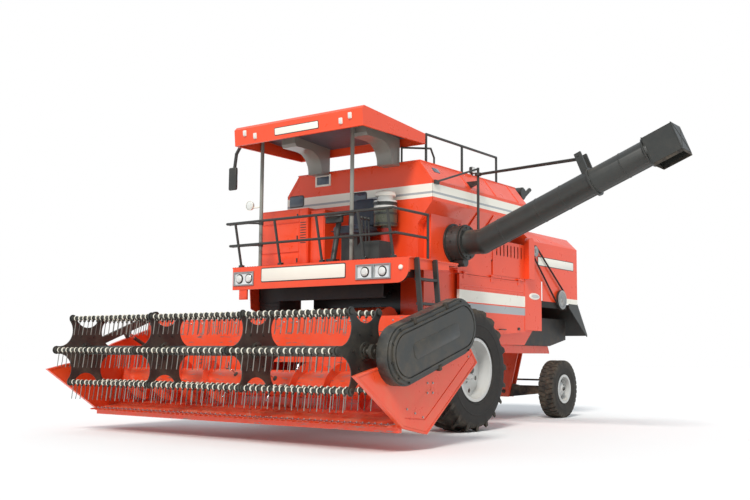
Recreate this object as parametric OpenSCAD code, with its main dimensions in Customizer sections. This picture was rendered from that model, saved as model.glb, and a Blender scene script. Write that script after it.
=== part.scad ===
// Self-propelled combine harvester with a 14 ft grain header.
// Front is -Y, +X is the machine's left, Z is up from the ground, in millimetres.
// Places below are in the machine frame: y = 0 is the drive axle, x = 0 the middle plane.
// Every node is then moved by one offset, so that the origin lies under the middle of its box.

/* [Wheels] */
// Drive tyre diameter over the lugs
drive_od = 1550; // [1500:10:1580]
// Drive tyre section width
drive_w = 467; // [430:1:490]
// Drive rim diameter at the bead
drive_rim_d = 762; // [700:2:800]
// Distance between the middles of the drive tyres
drive_track = 2610; // [2600:10:2700]
// Height of the drive tyre's lugs
lug_h = 36; // [20:1:45]
// Lugs on each side of a drive tyre
lug_n = 20; // [16:1:24]
// Steering tyre diameter over the tread
steer_od = 895; // [860:5:920]
// Steering tyre section width
steer_w = 255; // [220:5:280]
// Steering rim diameter at the bead
steer_rim_d = 406; // [380:2:440]
// Distance between the middles of the steering tyres
steer_track = 1846; // [1820:2:1900]
// Distance between the two axles
wheelbase = 3500; // [3400:10:3560]
// Distance from kingpin to the middle of the steering tyre
kingpin_inset = 190; // [180:5:220]

/* [Frame and threshing body] */
// Width over the threshing body's walls
body_w = 1850; // [1800:10:1870]
// Half distance between the frame beams' middles
beam_x = 640; // [600:10:680]
// Frame beam height
beam_h = 120; // [90:5:140]
// Frame beam width
beam_w = 80; // [60:5:100]
// Height of the frame beams' top above the ground
frame_top = 1120; // [1100:5:1140]
// Height of the operator's floor and body deck
deck_z = 2100; // [2080:5:2140]
// Front wall of the threshing body, behind the feeder
body_front = -320; // [-340:5:-300]
// Rear end of the threshing body, where the straw hood starts
body_rear = 2850; // [2800:10:2900]
// Rear end of the straw hood
hood_rear = 4100; // [4000:10:4200]
// Top of the straw hood
hood_top = 2880; // [2820:5:2920]
// Thickness of a sheet wall
sheet = 6; // [4:1:10]
// Thickness of a hinged side shield with its edge folds
shield_t = 34; // [26:1:38]

/* [Grain tank and engine deck] */
// Width over the tank's upper part
tank_w = 2440; // [2380:10:2460]
// Front wall of the tank
tank_front = -560; // [-580:5:-540]
// Rear wall of the tank
tank_rear = 1950; // [1900:10:2000]
// Height of the tank's rim
tank_top = 3430; // [3380:5:3460]
// Lower edge of the tank's upright side walls
tank_waist = 2900; // [2860:5:2920]
// Height where the hopper sides end on the deck plates
hopper_low = 2620; // [2580:5:2660]
// Rear end of the engine deck panels
engine_rear = 2460; // [2430:10:2500]

/* [Operator's platform and canopy] */
// Width of the platform
platform_w = 2870; // [2800:10:2900]
// Front face of the platform
platform_front = -1400; // [-1420:5:-1380]
// Height of the platform's front board
fascia_h = 300; // [260:5:320]
// Height of the guard rail above the floor
rail_h = 580; // [560:5:620]
// Rail tube diameter
rail_d = 34; // [28:1:40]
// Canopy width
canopy_w = 2100; // [2000:10:2160]
// Canopy length
canopy_d = 1320; // [1260:10:1360]
// Height of the canopy's top at its front
canopy_top = 3890; // [3860:5:3920]
// Depth of the canopy's front board
canopy_h = 240; // [220:5:260]

/* [Unloading auger] */
// Place of the auger's middle along the machine
auger_y = 120; // [100:5:140]
// Height of the auger's wall hub
auger_z = 2420; // [2400:5:2440]
// Hub diameter at the tank wall
auger_hub_d = 460; // [440:5:480]
// Diameter of the auger tube
auger_d = 320; // [300:5:330]
// Rise of the auger tube above level, in degrees
auger_rise = 22; // [20:0.5:23]
// Length of the auger tube from elbow to spout
auger_len = 2420; // [2300:10:2450]

/* [Header] */
// Half width over the header's end panels
header_half = 2365; // [2330:5:2400]
// Thickness of an end panel
end_t = 40; // [30:1:50]
// Height of the feeder's pivot shaft
pivot_z = 1350; // [1340:5:1360]
// Place of the feeder's pivot shaft along the machine
pivot_y = -560; // [-570:5:-550]
// Width of the feeder house
feeder_w = 1120; // [1080:10:1140]
// Height of the feeder house across its slope
feeder_h = 440; // [420:5:450]
// Place of the intake auger's shaft along the machine
intake_y = -2350; // [-2360:5:-2340]
// Height of the intake auger's shaft
intake_z = 620; // [610:5:630]
// Diameter over the intake auger's flights
intake_d = 500; // [480:5:510]
// Clearance between the flights and the trough
trough_gap = 35; // [25:1:40]

/* [Reel] */
// Radius of the circle of the reel's bats
reel_r = 440; // [420:5:450]
// Place of the reel's shaft along the machine
reel_y = -3170; // [-3180:5:-3160]
// Height of the reel's shaft
reel_z = 980; // [970:5:1000]
// Diameter of a bat tube
bat_d = 42; // [36:1:46]
// Length of a tine below its bat
tine_len = 200; // [180:5:210]
// Tines on each bat, the same in each of its three bays
tine_n = 27; // [18:3:36]

/* [Hidden] */

// Clearances
run_gap = 0.05;      // radial, shaft in its bore
seat_gap = 0.3;      // between curved faces that seat on each other
move_gap = 12;       // between pieces that pass each other

// Colours
paint = [0.93, 0.27, 0.10];
shade = [0.20, 0.20, 0.19];
cream = [0.93, 0.91, 0.86];
steel = [0.62, 0.63, 0.64];

// Derived places
drive_r = drive_od / 2;
steer_r = steer_od / 2;
drive_x = drive_track / 2;
steer_x = steer_track / 2;
king_x = steer_x - kingpin_inset;
body_x = body_w / 2;
beam_low = frame_top - beam_h;
tank_x = tank_w / 2;
plat_x = platform_w / 2;
rim_in = 200;        // how far each tank wall leans in at its top
lean_z = 3160;       // where it starts to lean
hopper_x = tank_x - 230;
spout_w = 300;
spout_len = 390;
spout_up = 150;
spout_down = 190;
elbow_x = tank_x + 330;
tip_x = elbow_x + (auger_len + spout_len) * cos(auger_rise) + spout_down * sin(auger_rise);
header_tip = -3540;
deflector_reach = 380;
// Middle of the whole machine's box, which becomes the origin
mid_x = (tip_x - header_half) / 2;
boss_r = bat_d / 2 + 26;
front_y = min(header_tip, reel_y - reel_r - boss_r);
mid_y = (front_y + hood_rear + deflector_reach) / 2;

// Helpers
module placed() {
    translate([-mid_x, -mid_y, 0]) children();
}
// An outline in (y, z) pushed along x from x0 by w
module yz(x0, w, pts) {
    translate([x0, 0, 0]) rotate([90, 0, 90]) linear_extrude(w) polygon(pts);
}
// An outline in (x, z) pushed along y from y0 by d
module xz(y0, d, pts) {
    translate([0, y0 + d, 0]) rotate([90, 0, 0]) linear_extrude(d) polygon(pts);
}
// A box between two corners
module span(a, b) {
    translate(a) cube(b - a);
}
// A round bar between two points
module bar(a, b, d) {
    v = b - a;
    len = norm(v);
    translate(a) rotate([0, acos(v[2] / len), atan2(v[1], v[0])]) cylinder(h = len, d = d, $fn = 24);
}
// A bent tube through a row of points, with a ball in each bend
module run(pts, d) {
    for (i = [0:len(pts) - 2]) bar(pts[i], pts[i + 1], d);
    for (i = [1:1:len(pts) - 2]) translate(pts[i]) sphere(d = 1.05 * d, $fn = 24);
}
// A cylinder along x
module rod_x(x0, x1, y, z, d) {
    translate([x0, y, z]) rotate([0, 90, 0]) cylinder(h = x1 - x0, d = d, $fn = 48);
}
// The same piece on both sides of the machine
module both_sides() {
    children();
    mirror([1, 0, 0]) children();
}

// Frame: two beams, cross members, rear axle bracket, tie-down plates and drawbar
frame_front = -200;
frame_rear = wheelbase + 150;
cross_y = [frame_front, 1100, 2300, frame_rear - beam_w];
tie_plate_t = 20;
tie_hole_d = 50;
tie_reach = 110;
tie_at = 58;
tie_z = beam_low + 48;
drawbar_t = 25;
drawbar_hole_d = 32;
pivot_pin_d = 60;
axle_pivot_z = steer_r - 60;
bracket_t = 25;
axle_half_y = 60;
module frame() {
    color(paint) placed() {
        both_sides() {
            span([beam_x - beam_w / 2, frame_front, beam_low],
                [beam_x + beam_w / 2, frame_rear, frame_top]);
            // Tie-down plate behind the beam's rear end
            difference() {
                yz(beam_x - tie_plate_t / 2, tie_plate_t, [[frame_rear, beam_low], [frame_rear, frame_top],
                    [frame_rear + 60, frame_top], [frame_rear + tie_reach, beam_low + 20],
                    [frame_rear + tie_reach, beam_low]]);
                rod_x(beam_x - tie_plate_t, beam_x + tie_plate_t, frame_rear + tie_at, tie_z, tie_hole_d);
            }
        }
        for (y = cross_y) {
            span([-beam_x + beam_w / 2, y, beam_low], [beam_x - beam_w / 2, y + beam_w, frame_top]);
        }
        // Hangers for the steering axle, one ahead of it and one behind
        for (y = [wheelbase - axle_half_y - bracket_t - 1, wheelbase + axle_half_y + 1]) {
            difference() {
                xz(y, bracket_t, [[-260, beam_low], [-90, axle_pivot_z - 90], [90, axle_pivot_z - 90],
                    [260, beam_low]]);
                translate([0, y - 1, axle_pivot_z]) rotate([-90, 0, 0])
                    cylinder(h = bracket_t + 2, d = pivot_pin_d + 2 * run_gap, $fn = 48);
            }
            span([-260, y, beam_low], [260, y + bracket_t, beam_low + 40]);
        }
        // Cross member that carries the front hanger
        span([-beam_x + beam_w / 2, wheelbase - axle_half_y - bracket_t - 61, beam_low],
            [beam_x - beam_w / 2, wheelbase - axle_half_y - 1, frame_top - 20]);
        // Drawbar at the rear
        difference() {
            span([-70, frame_rear, beam_low], [70, frame_rear + 150, beam_low + drawbar_t]);
            translate([0, frame_rear + 95, beam_low - 1])
                cylinder(h = drawbar_t + 2, d = drawbar_hole_d, $fn = 48);
        }
    }
}

// Drive axle: tube, gearbox, final drives, stub shafts, saddles and lift cylinder ears
axle_tube_d = 190;
stub_d = 90;
final_d = 320;
final_x0 = 800;
final_x1 = 1140;
lift_x = 420;
lift_pin_y = -170;
lift_pin_z = 560;
lift_pin_d = 40;
lift_eye_w = 50;
ear_t = 20;
module drive_axle() {
    color(shade) placed() {
        rod_x(-final_x0, final_x0, 0, drive_r, axle_tube_d);
        yz(-260, 520, [[-150, 650], [-150, 880], [-90, 940], [150, 940], [210, 880], [210, 650],
            [150, 590], [-90, 590]]);
        both_sides() {
            rod_x(final_x0, final_x1, 0, drive_r, final_d);
            rod_x(final_x0 - 60, final_x0, 0, drive_r, final_d - 70);
            rod_x(final_x1, drive_x + 95, 0, drive_r, stub_d);
            // Saddle up to the frame beam
            span([beam_x - 60, -130, drive_r], [beam_x + 60, 130, beam_low]);
            // Ears and pin for the header lift cylinder
            for (x = [lift_x - lift_eye_w / 2 - ear_t - 1, lift_x + lift_eye_w / 2 + 1]) {
                yz(x, ear_t, [[lift_pin_y - 35, lift_pin_z - 35], [lift_pin_y - 35, lift_pin_z + 30],
                    [-40, drive_r], [60, drive_r - 60], [lift_pin_y + 50, lift_pin_z - 35]]);
            }
            rod_x(lift_x - lift_eye_w / 2 - ear_t, lift_x + lift_eye_w / 2 + ear_t, lift_pin_y,
                lift_pin_z, lift_pin_d);
        }
    }
}

// Steering axle beam with a boss for each kingpin and the pivot pin in the middle
kingpin_d = 44;
boss_d = 110;
boss_h = 170;
module rear_axle() {
    color(shade) placed() {
        difference() {
            union() {
                xz(wheelbase - axle_half_y, 2 * axle_half_y, [
                    [-king_x, steer_r - 70], [-king_x, steer_r + 40], [-220, steer_r + 40],
                    [-120, steer_r + 60],
                    [120, steer_r + 60], [220, steer_r + 40], [king_x, steer_r + 40],
                    [king_x, steer_r - 70], [120, steer_r - 140], [-120, steer_r - 140]]);
                both_sides() translate([king_x, wheelbase, steer_r - boss_h / 2])
                    cylinder(h = boss_h, d = boss_d, $fn = 48);
            }
            both_sides() translate([king_x, wheelbase, steer_r - boss_h / 2 - 1])
                cylinder(h = boss_h + 2, d = kingpin_d + 2 * run_gap, $fn = 48);
        }
        translate([0, wheelbase - axle_half_y - bracket_t - 15, axle_pivot_z]) rotate([-90, 0, 0])
            cylinder(h = 2 * (axle_half_y + bracket_t + 15), d = pivot_pin_d, $fn = 48);
    }
}

// Threshing body, a closed housing, with the two bearing plates of the feeder's pivot shaft
pivot_shaft_d = 80;
pivot_plate_t = 30;
pivot_plate_x = feeder_w / 2 + 20;
module thresher() {
    color(paint) placed() {
        yz(-body_x, body_w, [
            [body_front, frame_top + 130], [body_front, deck_z], [body_rear, deck_z],
            [body_rear, frame_top + 380], [body_rear - 450, frame_top], [body_front + 120, frame_top]]);
        both_sides() difference() {
            yz(pivot_plate_x, pivot_plate_t, [
                [body_front, pivot_z - 140], [body_front, pivot_z + 140], [pivot_y - 40, pivot_z + 80],
                [pivot_y - 80, pivot_z + 30], [pivot_y - 80, pivot_z - 60], [pivot_y - 20, pivot_z - 90]]);
            rod_x(pivot_plate_x - 1, pivot_plate_x + pivot_plate_t + 1, pivot_y, pivot_z,
                pivot_shaft_d + 2 * run_gap);
        }
    }
}

// Cleaning shoe housing under the straw hood, open at its rear end
sieve_half = 720;
sieve_front = body_rear - 415;
sieve_rear = hood_rear + 125;
module sieve_box() {
    color(shade) placed() difference() {
        yz(-sieve_half, 2 * sieve_half, [
            [sieve_front, frame_top], [frame_rear, frame_top], [sieve_rear, frame_top + 110],
            [sieve_rear, frame_top + 440], [body_rear + move_gap, frame_top + 440],
            [body_rear + move_gap, frame_top + 385]]);
        yz(-sieve_half + 20, 2 * sieve_half - 40, [
            [frame_rear, frame_top + 30], [sieve_rear + 1, frame_top + 140],
            [sieve_rear + 1, frame_top + 410],
            [frame_rear - 300, frame_top + 410], [frame_rear - 300, frame_top + 30]]);
    }
}

// Fixed side panels: louvred engine panels on the deck and the strips behind the side shields
panel_x = 1000;
louvre_n = 9;
strip_y = 2290;
module side_panels() {
    color(paint) placed() both_sides() {
        difference() {
            span([panel_x - shield_t, tank_step + 30, deck_z], [panel_x, engine_rear, hopper_low - 10]);
            span([panel_x - shield_t - 1, tank_step + 30 + sheet, deck_z - 1],
                [panel_x - sheet, engine_rear - sheet, hopper_low - 10 - sheet]);
            for (i = [0:louvre_n - 1]) {
                translate([panel_x - sheet - 1, tank_step + 130 + i * 105, hopper_low - 230])
                    cube([sheet + 2, 28, 170]);
            }
            // Room for the tank's sloping floor
            span([panel_x - shield_t - 1, 1329, deck_z + 190], [hopper_x, 1645, hopper_low]);
        }
        // Strip panel behind the shield, open towards the body
        difference() {
            span([body_x, strip_y, frame_top + 220], [panel_x, body_rear - 30, deck_z]);
            span([body_x - 1, strip_y + sheet, frame_top + 220 + sheet],
                [panel_x - sheet, body_rear - 30 - sheet, deck_z - sheet]);
        }
    }
}

// Straw hood: a shell with sloping upper edges, open below behind the body and at its rear
hood_x = 1000;
hood_bevel = 180;
hood_low = 1800;
module hood_outline(inset) {
    x = hood_x - inset;
    top = hood_top - inset;
    low = hood_low - (inset > 0 ? 10 : 0);
    polygon([[-x, low], [-x, top - hood_bevel], [-x + hood_bevel, top], [x - hood_bevel, top],
        [x, top - hood_bevel], [x, low]]);
}
module straw_hood() {
    color(paint) placed() difference() {
        translate([0, hood_rear, 0]) rotate([90, 0, 0]) linear_extrude(hood_rear - engine_rear - sheet)
            hood_outline(0);
        translate([0, hood_rear + 1, 0]) rotate([90, 0, 0])
            linear_extrude(hood_rear + 1 - engine_rear - 3 * sheet) hood_outline(sheet);
        // The part over the threshing body ends on the deck
        span([-hood_x - 1, engine_rear, hood_low - 20], [hood_x + 1, body_rear + sheet, deck_z]);
    }
}

// Black straw deflector hung under the rear edge of the hood
module deflector() {
    cheek_x = hood_x - sheet - 12;
    color(shade) placed() {
        yz(-cheek_x, 2 * cheek_x, [[hood_rear - 60, hood_low], [hood_rear - 40, hood_low],
            [hood_rear + deflector_reach, hood_low - 480], [hood_rear + deflector_reach, hood_low - 500],
            [hood_rear + deflector_reach - 20, hood_low - 500]]);
        both_sides() yz(cheek_x, 12, [[hood_rear - 300, hood_low + 60], [hood_rear - 20, hood_low + 60],
            [hood_rear + deflector_reach, hood_low - 480], [hood_rear + deflector_reach, hood_low - 520],
            [hood_rear - 300, hood_low - 60]]);
    }
}

// Grain tank: an open hopper with upright walls, upper walls that lean in and sloping floors
tank_step = 1300;    // where its rear floor starts to rise
module tank_front_outline(inset) {
    t = tank_x - inset;
    h = hopper_x - inset;
    polygon([[-t, lean_z], [-t + rim_in, tank_top + (inset > 0 ? 1 : 0)],
        [t - rim_in, tank_top + (inset > 0 ? 1 : 0)],
        [t, lean_z], [t, tank_waist], [h, hopper_low], [h, deck_z + inset], [-h, deck_z + inset],
        [-h, hopper_low], [-t, tank_waist]]);
}
module tank_side_outline(inset) {
    polygon([[tank_front + inset, deck_z + inset], [tank_front + inset, tank_top + 2],
        [tank_rear - inset, tank_top + 2],
        [tank_rear - inset, tank_waist + inset / 2], [tank_step - inset, deck_z + 200 + inset / 2],
        [tank_step - inset, deck_z + inset]]);
}
module grain_tank() {
    color(paint) placed() difference() {
        intersection() {
            translate([0, tank_rear, 0]) rotate([90, 0, 0]) linear_extrude(tank_rear - tank_front)
                tank_front_outline(0);
            translate([-tank_x, 0, 0]) rotate([90, 0, 90]) linear_extrude(tank_w) tank_side_outline(0);
        }
        intersection() {
            translate([0, tank_rear, 0]) rotate([90, 0, 0]) linear_extrude(tank_rear - tank_front)
                tank_front_outline(sheet);
            translate([-tank_x, 0, 0]) rotate([90, 0, 90]) linear_extrude(tank_w) tank_side_outline(sheet);
        }
    }
}

// Engine, one plain block on the deck behind the hopper
engine_h = 760;
engine_w = 1160;
engine_x0 = -480;
engine_front = tank_step + 220;
engine_top = deck_z + engine_h;
exhaust_x = 600;
exhaust_y = 2130;
muffler_x0 = 480;
muffler_x1 = 1060;
muffler_z = 3370;
muffler_d = 190;
module engine() {
    color(shade) placed() yz(engine_x0, engine_w, [[engine_front, deck_z],
        [engine_front, engine_top - 420], [engine_front + 380, engine_top - 80],
        [engine_front + 440, engine_top], [engine_rear - 60, engine_top], [engine_rear - 60, deck_z]]);
}
module exhaust() {
    color(shade) placed() {
        translate([exhaust_x, exhaust_y, engine_top])
            cylinder(h = muffler_z - engine_top, d = 80, $fn = 48);
        rod_x(muffler_x0, muffler_x1, exhaust_y, muffler_z, muffler_d);
        for (x = [muffler_x0 - 14, muffler_x1]) rod_x(x, x + 14, exhaust_y, muffler_z, muffler_d - 30);
        run([[muffler_x1 - 60, exhaust_y + muffler_d / 2 - 20, muffler_z + 20],
            [muffler_x1 - 60, exhaust_y + 190, muffler_z + 20],
            [muffler_x1 - 60, exhaust_y + 330, muffler_z + 110]], 64);
    }
}

// Belt drive on the left of the hood: columns are place along y, height, radius
belt_pulleys = [[2560, 2540, 80], [3450, 1850, 150]];
belt_w = 22;
belt_t = 14;
belt_x = hood_x + 20;
module belt_drive() {
    a = belt_pulleys[0];
    b = belt_pulleys[1];
    len = norm([b[0] - a[0], b[1] - a[1]]);
    turn = atan2(b[1] - a[1], b[0] - a[0]);
    lean = asin((b[2] - a[2]) / len);
    color(shade) placed() {
        translate([belt_x, a[0], a[1]]) rotate([turn, 0, 0]) rotate([90, 0, 90]) linear_extrude(belt_w)
            difference() {
            union() {
                circle(r = a[2] + belt_t, $fn = 48);
                translate([len, 0]) circle(r = b[2] + belt_t, $fn = 64);
                polygon([[-(a[2] + belt_t) * sin(lean), (a[2] + belt_t) * cos(lean)],
                    [len - (b[2] + belt_t) * sin(lean), (b[2] + belt_t) * cos(lean)],
                    [len - (b[2] + belt_t) * sin(lean), -(b[2] + belt_t) * cos(lean)],
                    [-(a[2] + belt_t) * sin(lean), -(a[2] + belt_t) * cos(lean)]]);
            }
            polygon([[-a[2] * sin(lean), a[2] * cos(lean)], [len - b[2] * sin(lean), b[2] * cos(lean)],
                [len - b[2] * sin(lean), -b[2] * cos(lean)], [-a[2] * sin(lean), -a[2] * cos(lean)]]);
        }
        for (p = belt_pulleys) {
            difference() {
                rod_x(belt_x - 4, belt_x + belt_w + 4, p[0], p[1], 2 * p[2] + 2);
                rod_x(belt_x + belt_w - 6, belt_x + belt_w + 5, p[0], p[1], 1.5 * p[2]);
            }
            rod_x(hood_x, belt_x + belt_w + 12, p[0], p[1], 50);
        }
    }
}

// Elevator leg on the right, and the rounded drive housing on the left
elev_w = 150;
elev_d = 230;
elev_low = [2700, 1180];
elev_high = [2120, 3150];
house_y = 2360;
house_z = 2640;
house_r = 88;
module elevator() {
    len = norm(elev_high - elev_low);
    lean = atan2(elev_low[0] - elev_high[0], elev_high[1] - elev_low[1]);
    color(paint) placed() {
        translate([-panel_x - elev_w, elev_low[0], elev_low[1]]) rotate([lean, 0, 0]) {
            translate([0, -elev_d / 2, 0]) cube([elev_w, elev_d, len]);
            for (z = [0, len]) translate([0, 0, z]) rotate([0, 90, 0])
                cylinder(h = elev_w, d = elev_d, $fn = 48);
        }
        // Outlet of the elevator head into the tank's rear wall
        span([-panel_x - elev_w + 30, tank_rear, elev_high[1] - 130],
            [-panel_x - 30, elev_high[0], elev_high[1] + 40]);
    }
    color(paint) placed() {
        rod_x(panel_x, panel_x + 80, house_y, house_z, 2 * house_r);
        span([panel_x, house_y - house_r, deck_z], [panel_x + 80, house_y + house_r, house_z]);
    }
}

// Platform: floor, front board with its curved left end, side boards and two carriers
board_t = 40;
floor_t = 40;
board_low = deck_z - fascia_h;
corner_r = 170;
lamp_boxes = [[-1415, 370], [656, 525]];   // columns: left end, width
module platform() {
    color(paint) placed() {
        span([-plat_x, platform_front, deck_z - floor_t], [plat_x, body_front, deck_z]);
        difference() {
            translate([0, platform_front + board_t, 0]) rotate([90, 0, 0]) linear_extrude(board_t) {
                difference() {
                    translate([-plat_x, board_low]) square([platform_w, fascia_h - floor_t]);
                    translate([plat_x - corner_r, board_low - 1]) square(corner_r + 1);
                }
                translate([plat_x - corner_r, board_low + corner_r]) intersection() {
                    circle(r = corner_r, $fn = 96);
                    translate([-1, -corner_r]) square(corner_r + 1);
                }
            }
            for (b = lamp_boxes) {
                translate([b[0], platform_front - 1, board_low + 50])
                    cube([b[1], 26, fascia_h - floor_t - 70]);
            }
        }
        both_sides() {
            yz(plat_x - 30, 30, [[platform_front + board_t, board_low + 150],
                [platform_front + board_t, deck_z - floor_t],
                [body_front - 200, deck_z - floor_t], [body_front - 200, deck_z - floor_t - 60]]);
            span([700, platform_front + board_t, deck_z - floor_t - 110],
                [780, body_front, deck_z - floor_t]);
        }
    }
}

// Fall of the canopy to its rear, depth of its rear board, and the box brackets that hold it
canopy_fall = 100;
board_rear = 130;
bracket_x = 585;
bracket_w = 240;
bracket_d = 170;
bracket_reach = 720;
bracket_low = tank_top - 40;
bracket_bend = 260;
bracket_hole = 80;

// Guard rails of the platform and the grab rail on the tank
rail_lean = 130;
grab_x = tank_x - rim_in - 5;
rail_right = -1450;
rail_left = 1280;
post_x = [-1300, -600, 100, 760, 1200];
rail_mid = 290;
grab_z = tank_top + 370;
grab_y = [tank_front + 150, tank_front + 1030, tank_rear - 540];
loop_x = bracket_x + bracket_w / 2 + 30;
loop_z = canopy_top - canopy_fall - board_rear - 30;
loop_d = 26;
module rails() {
    y0 = platform_front + board_t / 2;
    y1 = y0 - rail_lean;
    ym = y0 - rail_lean * rail_mid / rail_h;
    color(shade) placed() {
        run([[rail_right, y1 + 60, deck_z + rail_h], [rail_right, y1, deck_z + rail_h],
            [rail_left, y1, deck_z + rail_h],
            [rail_left, -760, deck_z + rail_h], [rail_left, -760, deck_z]], rail_d);
        run([[rail_right, ym + 60, deck_z + rail_mid], [rail_right, ym, deck_z + rail_mid],
            [rail_left, ym, deck_z + rail_mid], [rail_left, -760, deck_z + rail_mid]], rail_d);
        for (x = post_x) {
            span([x - 30, platform_front, deck_z], [x + 30, platform_front + 50, deck_z + 30]);
            bar([x, y0, deck_z + 15], [x, y1, deck_z + rail_h], rail_d);
        }
        // Grab rail on the tank's left rim
        run([[grab_x, grab_y[0], tank_top], [grab_x, grab_y[0], grab_z], [grab_x, grab_y[2], grab_z],
            [grab_x, grab_y[2], tank_top]], rail_d);
        bar([grab_x, grab_y[1], tank_top], [grab_x, grab_y[1], grab_z], rail_d);
        // Hand loop round the tank's front corner
        run([[loop_x, tank_front + sheet / 2, tank_top], [loop_x, tank_front + sheet / 2, loop_z],
            [grab_x, tank_front + 260, loop_z], [grab_x, tank_front + 340, tank_top + 90],
            [grab_x, tank_front + 340, tank_top]], loop_d);
    }
}

// Ladder ahead of the left drive tyre
ladder_y = [-1290, -900];
ladder_low = 640;
rung_n = 5;
module ladder() {
    color(shade) placed() {
        for (y = ladder_y) {
            translate([0, y, 0]) xz(0, 30, [[plat_x, deck_z], [plat_x + 60, deck_z],
                [plat_x + 190, ladder_low], [plat_x + 130, ladder_low], [plat_x, deck_z - 60]]);
        }
        for (i = [0:rung_n - 1]) {
            z = ladder_low + 30 + i * (deck_z - ladder_low - 300) / (rung_n - 1);
            x = plat_x + 150 - 130 * (z - ladder_low) / (deck_z - ladder_low);
            span([x - 60, ladder_y[0] + 30, z], [x + 30, ladder_y[1], z + 30]);
        }
    }
}

// Canopy: a roof panel that falls to the rear with a board round its edge
canopy_front = -1800;
roof_t = 30;
canopy_x = canopy_w / 2;
module canopy() {
    rear = canopy_front + canopy_d;
    color(paint) placed() difference() {
        yz(-canopy_x, canopy_w, [[canopy_front, canopy_top - canopy_h],
            [canopy_front - 20, canopy_top - 40],
            [canopy_front + 20, canopy_top], [rear, canopy_top - canopy_fall],
            [rear, canopy_top - canopy_fall - board_rear]]);
        yz(-canopy_x + 20, canopy_w - 40, [[canopy_front + 20, canopy_top - canopy_h - 20],
            [canopy_front + 20, canopy_top - roof_t], [rear - 20, canopy_top - canopy_fall - roof_t],
            [rear - 20, canopy_top - canopy_fall - board_rear - 20]]);
    }
}
post_d = 50;
front_posts = [-1000, 530];
module bracket_outline() {
    tip = tank_front - bracket_reach;
    under = roof_z(tip) - 150;
    polygon([[tank_front, bracket_low], [tank_front, roof_z(tank_front)], [tip, roof_z(tip)],
        [tip, under + 40],
        [tip + 25, under], [tank_front - bracket_d, under], [tank_front - bracket_d, bracket_low]]);
    // Rounded inner corner
    translate([tank_front - bracket_d, under]) difference() {
        translate([-bracket_bend, -bracket_bend]) square(bracket_bend + 1);
        translate([-bracket_bend, -bracket_bend]) circle(r = bracket_bend, $fn = 96);
    }
}
// Underside of the roof panel at a place along the machine
function roof_z(y) = canopy_top - roof_t - seat_gap
    - canopy_fall * (y - canopy_front - 20) / (canopy_d - 40);
module canopy_posts() {
    y = platform_front + board_t + post_d / 2 + 2;
    color(steel) placed() {
        for (x = front_posts) {
            difference() {
                translate([x, y, deck_z]) cylinder(h = canopy_top - deck_z, d = post_d, $fn = 32);
                yz(x - post_d, 2 * post_d, [[canopy_front, roof_z(canopy_front)],
                    [tank_front, roof_z(tank_front)],
                    [tank_front, canopy_top + 40], [canopy_front, canopy_top + 40]]);
            }
        }
        // Box brackets that stand on the tank's front edge and curve forward under the roof
        for (x = [-bracket_x, bracket_x]) difference() {
            translate([x - bracket_w / 2, 0, 0]) rotate([90, 0, 90]) linear_extrude(bracket_w)
                bracket_outline();
            translate([x - 20, tank_front - bracket_d - 1, canopy_top - 300])
                cube([bracket_hole, 40, bracket_hole]);
        }
    }
}

// Mirror arm at the canopy's right
mirror_drop = 150;
mirror_at = 240;
module mirrors() {
    color(shade) placed() {
        z = canopy_top - mirror_drop;
        y = canopy_front + mirror_at;
        span([-canopy_x - 14, y - 60, z - 50], [-canopy_x, y + 60, z + 50]);
        run([[-canopy_x - 9, y + 2, z], [-canopy_x - 180, y + 60, z], [-canopy_x - 320, y + 110, z - 100],
            [-canopy_x - 370, y + 130, z - 290]], 45);
        translate([-canopy_x - 405, y + 110, z - 580]) cube([70, 40, 300]);
    }
}

// Lamps set into the front board
module lamps() {
    color(cream) placed() {
        for (b = lamp_boxes) {
            n = b[1] > 400 ? 2 : 1;
            for (i = [0:n - 1]) {
                translate([b[0] + 10 + i * (b[1] / n), platform_front + 1, board_low + 60])
                    cube([b[1] / n - 20, 24, fascia_h - floor_t - 90]);
            }
        }
    }
}

// Operator's seat, controls, cabinet and air cleaner
seat_x = 200;
can_x = 620;
can_d = 300;
can_y = tank_front - can_d / 2 - 40;
module seat() {
    color([0.10, 0.13, 0.22]) placed() {
        span([seat_x - 240, -1040, deck_z + 380], [seat_x + 240, -620, deck_z + 500]);
        yz(seat_x - 230, 460, [[-700, deck_z + 500 + seat_gap], [-620, deck_z + 500 + seat_gap],
            [-590, deck_z + 860], [-640, deck_z + 860]]);
    }
}
module controls() {
    color(shade) placed() {
        // Seat pedestal
        span([seat_x - 130, -960, deck_z], [seat_x + 130, -680, deck_z + 380]);
        // Low console at the left with its sloping end
        xz(-1330, 260, [[580, deck_z], [580, deck_z + 160], [680, deck_z + 230], [950, deck_z + 230],
            [950, deck_z]]);
        // Steering column and wheel
        span([seat_x - 60, -1350, deck_z], [seat_x + 60, -1230, deck_z + 40]);
        bar([seat_x, -1285, deck_z + 20], [seat_x, -1150, deck_z + 620], 70);
        translate([seat_x, -1150, deck_z + 620]) rotate([13, 0, 0]) {
            rotate_extrude($fn = 64) translate([190, 0]) circle(d = 26, $fn = 24);
            for (a = [90, 210, 330]) rotate([0, 0, a]) translate([0, -12, -8]) cube([190, 24, 16]);
            cylinder(h = 40, d = 80, center = true, $fn = 32);
        }
        // Levers in their box
        span([seat_x + 300, -1130, deck_z], [seat_x + 360, -910, deck_z + 40]);
        for (i = [0:2]) {
            bar([seat_x + 330, -1090 + i * 70, deck_z + 20], [seat_x + 330, -1130 + i * 70, deck_z + 560],
                22);
            translate([seat_x + 330, -1130 + i * 70, deck_z + 560]) sphere(d = 50, $fn = 24);
        }
    }
}
cabinet_w = 880;
cabinet_d = 380;
cabinet_h = 800;
cabinet_x = 35 - plat_x;
locker_w = 240;
seam = 12;
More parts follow.
